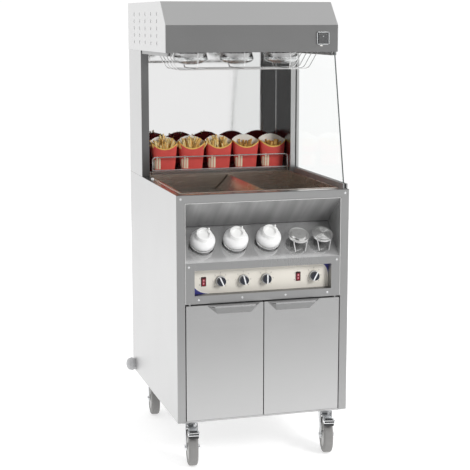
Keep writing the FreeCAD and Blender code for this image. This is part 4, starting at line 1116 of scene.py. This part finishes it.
@dataclass
class Controls:
    """Dials, rockers and the printed control plate in its recess."""

    plate_y: float = 31.0
    control_z: float = 626.5
    plate_low: float = 585.5
    plate_high: float = 670.5
    plate_half: float = 239.5
    knob_xs: tuple[float, ...] = (-143.0, -63.5, 16.0, 187.0)
    knob_angles: tuple[float, ...] = (24.0, 14.0, 0.0, -28.0)
    rocker_xs: tuple[float, ...] = (-201.0, 131.0)
    mark_radius: float = 26.5
    knob_radius: float = 18.0
    body_radius: float = 15.5
    knob_height: float = 21.5

    def corner_flash(self, right: bool) -> list[Form]:
        """A navy corner whose long side is a concave arc, with a pale line along it.

        Args:
            right: the upper right corner, otherwise the lower left.

        Returns:
            The two forms.
        """
        sign = 1 if right else -1
        x = sign * self.plate_half
        z = self.plate_high if right else self.plate_low
        wide, high = (36.0, 48.0) if right else (58.0, 44.0)
        first, last = (0, 90) if right else (180, 270)
        centre = (x - sign * wide, z - sign * high)
        outer, inner = arc((0, 0), 1.0, first, last, 14), arc((0, 0), 0.95, last, first, 14)
        bend = [(centre[0] + wide * u, centre[1] + high * v) for u, v in outer]
        line = [(centre[0] + wide * u, centre[1] + high * v) for u, v in inner]
        face = self.plate_y
        navy = Form.plate([(x, z)] + bend[::-1], face - 0.2, face + 0.2, Axis.Y).paint(0)
        pale = Form.plate(bend + line, face - 0.3, face + 0.2, Axis.Y).paint(1)
        return [form.at_home() for form in (navy, pale)]

    def digits(self, text: str, size: float, x: float, z: float) -> Form:
        """A printed number, as flat raised shapes."""
        curve = bpy.data.curves.new("digits", "FONT")
        curve.body = text
        curve.size = size
        curve.extrude = 0.12
        curve.align_x = "CENTER"
        curve.align_y = "CENTER"
        holder = bpy.data.objects.new("digits", curve)
        mesh = bpy.data.meshes.new_from_object(holder)
        form = Form()
        form.bm.from_mesh(mesh)
        bpy.data.objects.remove(holder)
        bpy.data.curves.remove(curve)
        bpy.data.meshes.remove(mesh)
        bmesh.ops.remove_doubles(form.bm, verts=form.bm.verts, dist=1e-4)
        form.place(stand(x, self.plate_y, z) @ Matrix.Rotation(math.radians(90), 4, "X"))
        return form

    def marks(self) -> list[Form]:
        """The dials' numbers, their ticks and the rockers' signs."""
        forms = []
        for x in self.knob_xs:
            for i in range(7):
                angle = math.radians(225 - 45 * i)
                direction = Vector((math.cos(angle), math.sin(angle)))
                middle = direction * self.mark_radius
                forms.append(self.digits(str(i), 6.2, x + middle.x, self.control_z + middle.y))
                tick = Form.block((-0.35, -0.15, -1.1), (0.35, 0.15, 1.1))
                tick.place(Matrix.Rotation(math.pi / 2 - angle, 4, "Y"))
                near = direction * (self.knob_radius + 2.4)
                forms.append(tick.place(stand(x + near.x, self.plate_y, self.control_z + near.y)))
        for x in self.rocker_xs:
            for z, text in ((11.0, "I"), (-11.5, "0")):
                forms.append(self.digits(text, 7.0, x - 13.5, self.control_z + z))
        return forms

    def knob(self, number: int, x: float, angle: float) -> None:
        """Builds one dial: a skirt, a fluted grip and a broad silver pointer.

        Args:
            number: its number from the left.
            x: its place in millimetres.
            angle: how far it is turned, in degrees.
        """
        back = self.plate_y - 0.5
        where = stand(x, back, self.control_z, 90) @ Matrix.Rotation(math.radians(angle), 4, "Z")
        top = self.knob_height
        skirt = [(3.1, 0.3), (self.knob_radius - 0.6, 0)]
        skirt += arc((self.knob_radius - 1.5, 2.2), 1.5, 0, 80, 4)
        skirt += [(self.body_radius + 0.4, 4.3), (self.body_radius, 6), (3.1, 6)]
        base = Form.turned(skirt, 72, True)
        band = [(self.body_radius - 1, 5.2), (16.7, 5.2), (16.7, 8.6), (self.body_radius - 1, 8.6)]
        collar = Form.turned(band, 72, True).soften(0.5)
        grip = [(0, 5), (self.body_radius, 5), (self.body_radius - 0.6, top - 2)]
        grip += arc((self.body_radius - 2.6, top - 2), 2.0, 0, 90, 5) + [(0, top)]
        body = Form.turned(grip, 72)
        for vert in body.bm.verts:
            radial = Vector((vert.co.x, vert.co.y))
            if radial.length > self.body_radius - 3 and 6.5 < vert.co.z < top - 1:
                wave = 0.5 - 0.5 * math.cos(18 * math.atan2(radial.y, radial.x))
                vert.co.xy = radial * (1 - 0.035 * wave)
        bar = Form.block((-2.3, -self.body_radius + 0.4, top - 0.6),
                         (2.3, self.body_radius - 0.4, top + 2.2), 0.7, 3)
        end = Form.block((-2.3, self.body_radius - 1.2, 7.0),
                         (2.3, self.body_radius + 0.2, top + 1.6), 0.6, 3)
        name = f"knob_{number}"
        forms = [base.paint(2), body.paint(0), collar.paint(1), bar.paint(1), end.paint(1)]
        for form in forms:
            form.place(where)
        finishes = [Finish.dial, Finish.pointer, Finish.collar]
        assemble(f"{name}_dial", forms, finishes, name, [name], 35.0)

    def rocker(self, side: str, x: float) -> None:
        """Builds one red rocker with its lit window, and its black frame.

        Args:
            side: left or right.
            x: its place in millimetres.
        """
        pivot_y = 37.5
        where = stand(x, pivot_y, self.control_z, 6)
        half = 6.1
        face = -11.0
        outline = [(face, -13.2)] + [
            (face + 2.5 * math.cos(math.radians(i * 15)), 13.2 * math.sin(math.radians(i * 15)))
            for i in range(-5, 6)
        ]
        outline += [(face, 13.2), (0, 8), (0, -8)]
        body = Form.plate(outline, -half, half, Axis.X).soften(0.5).paint(0)
        window = Form.block((-1.9, face + 1.6, -8.5), (1.9, face + 2.9, -2.0), 0.4).paint(1)
        strip = Form.block((-1.9, face + 1.6, 2.0), (1.9, face + 2.9, 8.5), 0.4).paint(1)
        name = f"rocker_{side}"
        forms = [form.place(where) for form in (body, window, strip)]
        assemble(f"{name}_shape", forms, [Finish.red, Finish.red_window], name,
                 [name], 35.0)
        frame_forms = []
        for low, high in (
            ((-8.6, -1.6, -15.8), (8.6, 0, -13.6)),
            ((-8.6, -1.6, 13.6), (8.6, 0, 15.8)),
            ((-8.6, -1.6, -13.8), (-6.5, 0, 13.8)),
            ((6.5, -1.6, -13.8), (8.6, 0, 13.8)),
        ):
            strip = Form.block(low, high, 0.5)
            frame_forms.append(strip.place(stand(x, self.plate_y, self.control_z)))
        assemble(f"{name}_frame", frame_forms, [Finish.maroon], "cabinet")

    def build(self) -> None:
        """Builds the plate's print, the dials and the rockers."""
        dress_node("control_plate", Finish.film)
        flashes = self.corner_flash(False) + self.corner_flash(True)
        assemble("corner_flashes", flashes, [Finish.navy, Finish.pale_print], "cabinet")
        assemble("dial_marks", self.marks(), [Finish.ink], "cabinet")
        for i, (x, angle) in enumerate(zip(self.knob_xs, self.knob_angles)):
            self.knob(i + 1, x, angle)
        for side, x in zip(("left", "right"), self.rocker_xs):
            self.rocker(side, x)


@dataclass
class HoodSwitch:
    """The lamp switch on the hood's front, under a clear splash boot."""

    x: float = 246.5
    z: float = 1424.0
    face: float = 128.0
    boot_half: tuple[float, float] = (21.5, 20.5)
    boot_depths: tuple[float, float] = (-10.5, -3.4)
    boot_rounding: float = 5.0
    # Pale rods of painted highlight along the boot's edges.
    rim_radius: float = 1.5
    rim_length: float = 19.0
    rim_inset: float = 0.5
    rim_out: float = -3.8
    dot_radius: float = 2.2
    mark_x: float = 241.6
    mark_z: float = 1398.8

    def build(self) -> None:
        """Builds the bezel, the rocker, the boot with pale rods of painted highlight along its
        edges, and the pale mark under them.
        """
        bezel = Form.copied("hood_switch_bezel").soften(1.1 * MM, 3)
        assemble(
            "hood_switch_frame", [bezel], [Finish.black], "cabinet",
            ["hood_switch_bezel"]
        )
        rocker = Form.copied("hood_switch").soften(0.7 * MM, 2)
        radius = self.dot_radius
        dot = Form.turned([(0, 0), (radius, 0), (radius, 0.5), (0, 0.5)], 24).paint(1)
        dot.place(stand(self.x, self.face - 6.6, self.z + 7.0, 96))
        assemble(
            "hood_switch_rocker",
            [rocker.paint(0), dot],
            [Finish.black, Finish.pointer],
            "hood_switch",
            ["hood_switch"],
        )
        half_x, half_z = self.boot_half
        low, high = self.boot_depths
        shell = Form.block((-half_x, low, -half_z), (half_x, high, half_z), self.boot_rounding, 5)
        assemble("hood_switch_boot", [shell.place(stand(self.x, self.face, self.z))], [Finish.boot],
                 "cabinet")
        # Pale rods along the boot's edges: painted highlights where the clear boot's rounded edges
        # catch the light.
        rim = []
        end, out, radius = self.rim_length, self.rim_out, self.rim_radius
        for side in (-1, 1):
            x, z = side * (half_x - self.rim_inset), side * (half_z - self.rim_inset)
            rim.append(Form.rod((x, out, -end), (x, out, end), radius))
            rim.append(Form.rod((-end, out, z), (end, out, z), radius))
        rim = [form.place(stand(self.x, self.face, self.z)) for form in rim]
        assemble("hood_switch_boot_highlights", rim, [Finish.pointer], "cabinet")
        mark = Form.block((-4.4, -0.3, -1.5), (4.4, 0.1, 1.5), 0.15)
        mark.place(stand(self.mark_x, self.face, self.mark_z))
        assemble("hood_mark", [mark], [Finish.pale_print], "cabinet")


@dataclass
class Lamps:
    """Three reflector bulbs in their sockets."""

    xs: tuple[float, ...] = (-165.0, 0.0, 165.0)
    y: float = 330.0
    low: float = 1332.0
    radius: float = 60.0
    dome: float = 20.0
    neck: float = 19.0

    def glass(self) -> Form:
        """The domed front glass down to the rim."""
        outer = [
            (self.radius * math.sin(a), self.dome * (1 - math.cos(a)))
            for a in [math.pi / 2 * i / 14 for i in range(15)]
        ]
        rim = [(self.radius - 0.3, self.dome + 6), (self.radius - 2.5, self.dome + 6)]
        inner = [
            ((self.radius - 2.5) * math.sin(a), 2.2 + (self.dome - 2.2) * (1 - math.cos(a)))
            for a in [math.pi / 2 * i / 14 for i in range(14, -1, -1)]
        ]
        return Form.turned(outer + rim + inner, 72)

    def reflector(self) -> Form:
        """The silvered bowl behind the glass, with facets that catch the light."""
        low = self.dome + 4
        points = [(self.radius - 3.0, low)]
        for i in range(1, 13):
            share = i / 12
            drawn_in = (self.radius - 3.0 - self.neck) * share ** 1.6
            points.append((self.radius - 3.0 - drawn_in, low + 66 * share))
        back = [(r + 1.4, h + 0.4) for r, h in reversed(points)]
        form = Form.turned(points + back, 72, True)
        for vert in form.bm.verts:
            radial = Vector((vert.co.x, vert.co.y))
            turn = math.atan2(radial.y, radial.x)
            wave = math.cos(24 * turn) * math.cos(0.35 * (vert.co.z - low))
            vert.co.xy = radial * (1 + 0.012 * wave)
        return form

    def build(self) -> None:
        """Builds each bulb's glass, bowl, filament and socket."""
        panes, bowls, sockets = [], [], []
        for x in self.xs:
            where = stand(x, self.y, self.low)
            panes.append(self.glass().place(where))
            bowls.append(self.reflector().place(where).paint(0))
            coil = Form.ring(7.0, 1.1, 40, 8).place(Matrix.Translation((0, 0, 44)))
            post = Form.turned([(0, 40), (4, 40), (4, 96), (0, 96)], 20)
            bowls += [coil.place(where).paint(1), post.place(where).paint(2)]
            skirt = [(0, 92), (20.5, 92), (21.5, 94), (24, 150), (24, 168), (0, 168)]
            sockets.append(Form.turned(skirt, 48).place(where).paint(0))
            holder = [(0, 166), (27, 166), (28, 168), (28, 186), (24, 190), (24, 212.5), (0, 212.5)]
            sockets.append(Form.turned(holder, 48).place(where).paint(1))
        assemble("lamp_sockets", sockets, [Finish.silver, Finish.ceramic], "cabinet",
                 ["heat_lamps"], 30.0)
        assemble("lamp_bowls", bowls, [Finish.silver, Finish.brass, Finish.ceramic], "cabinet",
                 (), 30.0)
        assemble("lamp_panes", panes, [Finish.bulb], "cabinet", (), 30.0)


@dataclass
class SideGlass:
    """The right glass side, clear, with its edge faces in an opaque dark coat: painted shade for
    the dark look of a pane's edge.
    """

    x: float = 288.0
    half: float = 2.5
    front_low: float = 18.0
    front_high: float = 123.0
    back: float = 522.0
    low: float = 924.8
    high: float = 1376.2

    def build(self) -> None:
        """Builds the pane, whose rim faces take the edge finish."""
        share = (self.low - 923) / (1378 - 923)
        near = self.front_low + (self.front_high - self.front_low) * share
        outline = [(near, self.low), (self.back, self.low), (self.back, self.high),
                   (self.front_high, self.high)]
        pane = Form.plate(outline, self.x - self.half, self.x + self.half, Axis.X).soften(0.6)
        # The rim faces take the opaque dark coat: painted shade.
        pane.paint(1, lambda n, c: abs(n.x) < 0.6).at_home()
        assemble("glass_pane", [pane], [Finish.pane, Finish.pane_edge], "cabinet",
                 ["glass_right"], 20.0)


@dataclass
class Carton:
    """A board carton with a scooped front, a crowned back and its fries."""

    number: int
    x: float
    brown: bool
    sticks: int
    y: float = 603.0
    z: float = 936.1
    bottom: tuple[float, float] = (80.0, 34.0)
    top: tuple[float, float] = (102.0, 54.0)
    corner: float = 104.0
    scoop: float = 24.0
    crown: float = 19.0
    board: float = 0.9
    rings: int = 18
    around: int = 72

    def wall(self) -> Form:
        """The board wall: a ring drawn up and shaped to the scoop and the crown.

        Returns:
            The wall with its print map and its finishes painted.
        """
        form = Form()
        bmesh.ops.create_circle(form.bm, cap_ends=True, radius=1.0, segments=self.around)
        rim = [edge for edge in form.bm.edges if edge.is_boundary]
        level = {vert: 0 for vert in form.bm.verts}
        for i in range(1, self.rings + 1):
            grown = bmesh.ops.extrude_edge_only(form.bm, edges=rim)["geom"]
            edges = [item for item in grown if isinstance(item, bmesh.types.BMEdge)]
            rim = [edge for edge in edges if edge.is_boundary]
            for item in grown:
                if isinstance(item, bmesh.types.BMVert):
                    level[item] = i
        for vert, ring in level.items():
            self.settle(vert, ring / self.rings)
        bmesh.ops.recalc_face_normals(form.bm, faces=form.bm.faces)
        outer = set(form.bm.faces)
        bmesh.ops.solidify(form.bm, geom=form.bm.faces[:], thickness=self.board)
        form.bm.normal_update()
        self.paint_board(form, outer)
        return form

    def settle(self, vert: bmesh.types.BMVert, share: float) -> None:
        """Moves one vertex of the unit ring to its place on the wall.

        Args:
            vert: the vertex, still on the unit ring.
            share: its height as a share of the wall there.
        """
        angle = math.atan2(vert.co.y, vert.co.x)
        across, deep = math.cos(angle), math.sin(angle)
        across = math.copysign(abs(across) ** 0.55, across)
        deep = math.copysign(abs(deep) ** 0.62, deep)
        span = 1 - across * across
        top = self.corner + (self.crown * span if deep > 0 else -self.scoop * span)
        height = share * top
        spread = height / self.corner
        half_x = (self.bottom[0] + (self.top[0] - self.bottom[0]) * spread) / 2
        half_y = (self.bottom[1] + (self.top[1] - self.bottom[1]) * spread) / 2
        vert.co = (half_x * across, half_y * deep, height)

    def paint_board(self, form: Form, outer: set[bmesh.types.BMFace]) -> None:
        """Gives the wall's faces their finishes and the print its map."""
        uv = form.bm.loops.layers.uv.new("UVMap")
        for face in form.bm.faces:
            middle = face.calc_center_median()
            span = 1 - min(1.0, abs(middle.x) / (self.top[0] / 2)) ** 2
            top = self.corner - self.scoop * span
            out = face.normal.x * middle.x / 51 + face.normal.y * middle.y / 27
            front = middle.y < -2
            # Outer faces at the back take the darker copy of the board red: painted shade.
            if out > 0.12:
                face.material_index = 0 if front else 1
                if front and middle.z > top - 5.5:
                    face.material_index = 3
            elif out < -0.12:
                face.material_index = 2
            else:
                face.material_index = 3 if middle.z > self.corner - self.scoop - 6 else 2
            for loop in face.loops:
                loop[uv].uv = (loop.vert.co.x / self.top[0] + 0.5, loop.vert.co.z / self.corner)

    def fry(self, source: random.Random, place: Point, lean: Point, size: Point) -> Form:
        """One fry: a softened, slightly bent stick.

        Args:
            source: the random draws.
            place: its foot in the carton.
            lean: its lean in degrees to the right and to the back.
            size: its width, depth and length.

        Returns:
            The stick in the carton's own millimetres.
        """
        form = Form.block((-size[0] / 2, -size[1] / 2, 0), (size[0] / 2, size[1] / 2, size[2]))
        half = size[2] / 2
        long_edges = [e for e in form.bm.edges if abs(e.verts[0].co.z - e.verts[1].co.z) > half]
        bmesh.ops.subdivide_edges(form.bm, edges=long_edges, cuts=4, use_grid_fill=True)
        form.soften(size[0] * 0.16, 1)
        bend = source.uniform(-0.10, 0.10) * size[2]
        twist = source.uniform(0, math.tau)
        for vert in form.bm.verts:
            share = vert.co.z / size[2]
            vert.co.x += bend * share * share + source.uniform(-0.25, 0.25)
            vert.co.y += source.uniform(-0.25, 0.25)
            vert.co.z += source.uniform(-0.3, 0.3) + 1.2 * math.sin(4 * vert.co.x)
        turn = Matrix.Rotation(math.radians(lean[0]), 4, "Y")
        turn = turn @ Matrix.Rotation(math.radians(-lean[1]), 4, "X")
        return form.place(Matrix.Translation(place) @ turn @ Matrix.Rotation(twist, 4, "Z"))

    def fries(self) -> list[Form]:
        """The carton's fries, fanned out above its scoop, over a packed floor."""
        source = random.Random(40 + self.number)
        forms = []
        for i in range(self.sticks):
            share = (i + 0.5) / self.sticks
            x = -36 + 72 * ((share * 7.3) % 1.0)
            row = i % 4
            y = -8 + 6 * row + source.uniform(-1, 1)
            lean_x = 24 * x / 36 + source.uniform(-34, 34)
            lean_y = -7 + 6 * row + source.uniform(-4, 4)
            if self.brown:
                size = (source.uniform(7, 10), source.uniform(5, 8), source.uniform(34, 50))
                foot = 50 + 3 * row
            else:
                size = (source.uniform(4.5, 6), source.uniform(4.5, 6), source.uniform(40, 74))
                foot = 44 + 4 * row
            lift = source.uniform(-4, 5) - 0.004 * x * x
            form = self.fry(source, (x * 0.72, y, foot + lift), (lean_x * 0.6, lean_y), size)
            tone = (1 if i % 2 else 2) if self.brown else (0 if i % 3 else 1)
            forms.append(form.paint(tone))
        return forms

    def core(self) -> Form:
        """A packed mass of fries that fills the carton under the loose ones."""
        form = Form.turned([(0, 0.03), (0.9, 0.03), (0.9, 0.3), (0.9, 0.6), (0.6, 0.66), (0, 0.68)],
                           self.around)
        for vert in form.bm.verts:
            inset, share = math.hypot(vert.co.x, vert.co.y), vert.co.z
            self.settle(vert, share)
            vert.co.x *= inset
            vert.co.y *= inset
            vert.co.z = share * self.corner
        return form.paint(1)

    def build(self) -> None:
        """Builds the wall and the fries."""
        where = stand(self.x, self.y, self.z)
        name = f"carton_{self.number}"
        board = [Finish.board, Finish.board_back, Finish.board_inside, Finish.board_rim]
        assemble(f"{name}_board", [self.wall().place(where)], board, name, [name],
                 50.0)
        tones = [Finish.fry_pale, Finish.fry_gold, Finish.fry_brown]
        forms = [form.place(where) for form in self.fries()]
        assemble(f"{name}_fries", forms + [self.core().place(where)], tones, name,
                 (), 40.0)


@dataclass
class Caster:
    """A swivel caster: grey tyre, ridged hub, pressed fork and, in front, a two-step pedal."""

    name: str
    x: float
    y: float
    turn: float
    trail: float = 38.0
    radius: float = 62.5
    half_width: float = 16.0

    def where(self, y: float = 0.0, z: float = 0.0) -> Matrix:
        """The caster's own millimetres, from its swivel axis at the floor."""
        place = stand(self.x, self.y, 0, 0, self.turn)
        return place @ Matrix.Translation((0, y, z))

    def wheel(self) -> None:
        """Builds the tyre, the hub with its rings, and the bearing's face."""
        r, w = self.radius, self.half_width
        tread = arc((r - 8, -w + 8), 8, -90, -8, 6) + [(r - 0.1, -5), (r, 0), (r - 0.1, 5)]
        tread += arc((r - 8, w - 8), 8, 8, 90, 6)
        tyre = [(43, -w)] + tread + [(43, w), (41, w - 2), (41, -w + 2)]
        hub = [(4.1, -w + 1.0), (13, -w + 1.0), (14, -w + 3), (20, -w + 4.0), (22, -w + 3.2),
               (24, -w + 4.0)]
        hub += [(36, -w + 4.5), (38, -w + 2.0), (41.5, -w + 1.6), (41.5, w - 1.6), (38, w - 2.0),
                (36, w - 4.5)]
        hub += [(24, w - 4.0), (22, w - 3.2), (20, w - 4.0), (14, w - 3), (13, w - 1.0),
                (4.1, w - 1.0)]
        axle = Matrix.Rotation(math.radians(90), 4, "Y")
        where = self.where(-self.trail, self.radius) @ axle
        forms = [
            Form.turned(tyre, 96, True).paint(0).place(where),
            Form.turned(hub, 96, True).paint(1).place(where),
        ]
        name = f"wheel_{self.name}"
        assemble(f"{name}_tyre", forms, [Finish.tyre, Finish.hub], name, [name],
                 28.0)

    def fork(self) -> None:
        """Builds the fork as a softened copy of its node."""
        node = f"caster_fork_{self.name}"
        form = Form.copied(node).soften(1.0 * MM, 2)
        # The left forks take the brighter zinc and the right ones the plain zinc: painted light, a
        # lighter copy of one plating on the left.
        finish = Finish.bright_zinc if self.name.endswith("left") else Finish.zinc
        assemble(f"{node}_shape", [form], [finish], f"fork_{self.name}", [node], 45.0)

    def pedal(self) -> None:
        """Builds the brake pedal: bright plates with black treads."""
        node = f"brake_pedal_{self.name}"
        bright = [
            Form.block((-15.5, -78, 129.2), (15.5, -16.5, 132.0), 0.7),
            Form.block((-19, -104, 129.0), (19, -77, 132.0), 1.0),
            Form.block((-19, -104, 120.6), (19, -88, 124.4), 1.0),
            Form.block((-19, -104, 122.0), (-16.5, -80, 131.0), 0.6),
            Form.block((16.5, -104, 122.0), (19, -80, 131.0), 0.6),
        ]
        eye = Form.turned([(0, -15.5), (4.5, -15.5), (4.5, 15.5), (0, 15.5)], 24)
        pin = Form.turned([(0, -21), (3, -21), (3, 21), (0, 21)], 20)
        for rod in (eye, pin):
            hinge = Matrix.Translation((0, -16.5, 127.5))
            rod.place(hinge @ Matrix.Rotation(math.radians(90), 4, "Y"))
        dark = [
            Form.block((-16.5, -102, 124.2), (16.5, -77.5, 129.2), 1.2),
            Form.block((-17, -101, 110.0), (17, -88, 120.8), 4.0, 4),
        ]
        ribs = [
            Form.block((-13, -98 + 5 * i, 131.8), (13, -96 + 5 * i, 132.6), 0.3).paint(1)
            for i in range(4)
        ]
        forms = [form.paint(0) for form in bright + [eye, pin]]
        forms += [form.paint(1) for form in dark] + ribs
        for form in forms:
            form.place(self.where())
        body = f"pedal_{self.name}"
        assemble(
            f"{node}_shape", forms, [Finish.bright_zinc, Finish.soft_black], body,
            [node], 35.0
        )

    def build(self) -> None:
        """Builds the caster."""
        self.wheel()
        self.fork()
        if self.name.startswith("front"):
            self.pedal()


@dataclass
class Fittings:
    """Screws and the worktop's stud."""

    top_screw: tuple[float, float] = (286.0, 910.0)
    panel_screw: tuple[float, float] = (259.0, 683.25)
    row_half: float = 272.0
    row_shares: tuple[float, ...] = (-0.83, -0.28, 0.28, 0.83)
    row_z: float = 571.75
    head_radius: float = 3.6
    stud: tuple[float, float, float] = (-280.0, 440.0, 923.0)
    stud_radius: float = 6.0

    def screw(self, x: float, z: float) -> list[Form]:
        """A pan-head screw whose cross recess is two dark bars: painted shade in place of a cut
        recess.

        Args:
            x: its place in millimetres.
            z: its height in millimetres.

        Returns:
            The head and the two dark bars of its recess.
        """
        head = [(0, 0), (self.head_radius, 0), (self.head_radius, 0.5)]
        head += arc((1.9, 0.2), 1.7, 8, 90, 5) + [(0, 1.9)]
        where = stand(x, 0, z, 90)
        forms = [Form.turned(head, 32).paint(0).place(where)]
        # Two dark bars stand for the cross recess: painted shade.
        bars = [((-1.7, -0.3, 1.6), (1.7, 0.3, 1.95)), ((-0.3, -1.7, 1.6), (0.3, 1.7, 1.95))]
        for low, high in bars:
            forms.append(Form.block(low, high).paint(1).place(where))
        return forms

    def build(self) -> None:
        """Builds the screws and the stud."""
        places = [(side * x, z) for x, z in (self.top_screw, self.panel_screw) for side in (-1, 1)]
        places += [(share * self.row_half, self.row_z) for share in self.row_shares]
        heads = [form for x, z in places for form in self.screw(x, z)]
        assemble("screw_heads", heads, [Finish.pointer, Finish.ink], "cabinet",
                 ["screws"], 30.0)
        dome = [(0, 0), (self.stud_radius, 0), (self.stud_radius, 1.5)]
        dome += arc((2.5, 1.5), 3.5, 0, 90, 6) + [(0, 5)]
        stud = Form.turned(dome, 32).place(stand(*self.stud))
        assemble("worktop_stud", [stud], [Finish.white], "cabinet", (), 40.0)


@dataclass
class Studio:
    """Camera, soft light and a pale floor."""

    lens: float = 96.89
    place: tuple[float, float, float] = (-1253.5, -3955.5, 1483.6)
    pitch: float = 0.1681
    yaw: float = 0.2835
    floor_reach: float = 5.0
    glow: float = 1.03
    gloom: float = 0.10
    ceiling: float = 0.60
    aim_height: float = 0.9

    def camera(self) -> None:
        """Puts the camera where the photograph was taken."""
        data = bpy.data.cameras.new("camera")
        data.lens = self.lens
        data.sensor_width = 36.0
        data.clip_end = 200.0
        camera = bpy.data.objects.new("camera", data)
        camera.location = spot(*self.place)
        camera.rotation_euler = (math.pi / 2 - self.pitch, 0.0, -self.yaw)
        bpy.context.scene.collection.objects.link(camera)
        bpy.context.scene.camera = camera

    def floor(self) -> None:
        """Lays the pale floor."""
        shape = bmesh.new()
        bmesh.ops.create_circle(shape, cap_ends=True, radius=self.floor_reach, segments=96)
        mesh = bpy.data.meshes.new("floor")
        shape.to_mesh(mesh)
        shape.free()
        mesh.materials.append(self.paper())
        floor = bpy.data.objects.new("floor", mesh)
        bpy.context.scene.collection.objects.link(floor)

    def paper(self) -> bpy.types.Material:
        """White paper that glows a little, so that only soft shadows lie on it; its glow and its
        colour fade towards the front, painted shade on the floor there.
        """
        paint = Paint("floor_paper")
        where = paint.node("ShaderNodeTexCoord", output="Object")
        depth = paint.node("ShaderNodeSeparateXYZ", values={0: where}, output="Y")
        # Glow and colour fade towards the front: painted shade.
        near = depth * 0.58 + 1.38
        glow = paint.ramp(near, (0.05, (0.10, 0.10, 0.10)), (1.0, (1.0, 1.0, 1.0)))
        paper = paint.ramp(near, (0.05, (0.45, 0.45, 0.45)), (1.0, (0.66, 0.66, 0.66)))
        paint.dress(Base_Color=paper, Roughness=0.9, Emission_Color=glow)
        paint.dress(Emission_Strength=0.55, Specular_IOR_Level=0.0)
        return paint.material

    def world(self) -> None:
        """A white studio, dark at the front above the floor and at the front left."""
        world = bpy.data.worlds.new("studio")
        bpy.context.scene.world = world
        world.use_nodes = True
        tree = world.node_tree
        paint = Paint.__new__(Paint)
        paint.tree = tree
        where = paint.node("ShaderNodeTexCoord", output="Generated")
        side = paint.node("ShaderNodeSeparateXYZ", values={0: where}, output="X")
        depth = paint.node("ShaderNodeSeparateXYZ", values={0: where}, output="Y")
        height = paint.node("ShaderNodeSeparateXYZ", values={0: where}, output="Z")
        front = (depth * -2.2 - 0.55).maths("MAXIMUM", 0.0).maths("MINIMUM", 1.0)
        left = (side * -6.0).maths("MAXIMUM", 0.0).maths("MINIMUM", 1.0)
        above = (height * 8.0 - 0.35).maths("MAXIMUM", 0.0).maths("MINIMUM", 1.0)
        roof = (height * 1.6 - 0.75).maths("MAXIMUM", 0.0).maths("MINIMUM", 1.0)
        dark = front * left.maths("MAXIMUM", above)
        walls = paint.mix(dark, (self.glow,) * 3, (self.gloom,) * 3)
        light = paint.mix(roof, walls, (self.ceiling,) * 3)
        background = tree.nodes["Background"]
        tree.links.new(light.socket, background.inputs["Color"])
        background.inputs["Strength"].default_value = 1.0

    def light(self, name: str, place: Point, size: float, power: float, mirrored: bool) -> None:
        """Adds one soft area light that points at the station.

        Args:
            name: its name.
            place: where it hangs, in metres.
            size: its width in metres.
            power: its power in watts.
            mirrored: whether metal mirrors it.
        """
        data = bpy.data.lights.new(name, "AREA")
        data.size = size
        data.energy = power
        lamp = bpy.data.objects.new(name, data)
        lamp.location = place
        way = Vector(place) - Vector((0, 0, self.aim_height))
        lamp.rotation_euler = way.to_track_quat("Z", "Y").to_euler()
        lamp.visible_glossy = mirrored
        bpy.context.scene.collection.objects.link(lamp)

    def sun(self) -> None:
        """A very soft overhead light that keeps the floor white."""
        data = bpy.data.lights.new("overhead", "SUN")
        data.energy = 0.5
        data.angle = math.radians(120)
        lamp = bpy.data.objects.new("overhead", data)
        bpy.context.scene.collection.objects.link(lamp)

    def build(self) -> None:
        """Builds the studio."""
        self.camera()
        self.floor()
        self.world()
        self.sun()
        self.light("key", (1.9, -3.6, 2.6), 1.3, 100.0, False)
        bpy.context.scene.view_settings.view_transform = "Standard"


def main() -> None:
    """Builds the studio and every sub-assembly."""
    logging.basicConfig(level=logging.INFO, format="%(message)s")
    Studio().build()
    Casings().build()
    Wires().build()
    Holders().build()
    for number, x in enumerate((-200.0, -85.0, 30.0), 1):
        Bottle(number, x).build()
    for number, (x, ridged) in enumerate(((135.0, False), (220.0, True)), 1):
        Shaker(number, x, ridged).build()
    Controls().build()
    HoodSwitch().build()
    Lamps().build()
    SideGlass().build()
    cartons = ((False, 64), (False, 60), (False, 54), (True, 36), (True, 34))
    for number, (brown, sticks) in enumerate(cartons, 1):
        Carton(number, 10 + (number - 3) * 105.0, brown, sticks).build()
    for name, x, y, turn in (
        ("front_left", -242.0, 55.0, -8.0),
        ("front_right", 242.0, 55.0, -11.0),
        ("rear_left", -242.0, 645.0, -6.0),
        ("rear_right", 242.0, 645.0, 14.0),
    ):
        Caster(name, x, y, turn).build()
    Fittings().build()


if __name__ == "__main__":
    main()
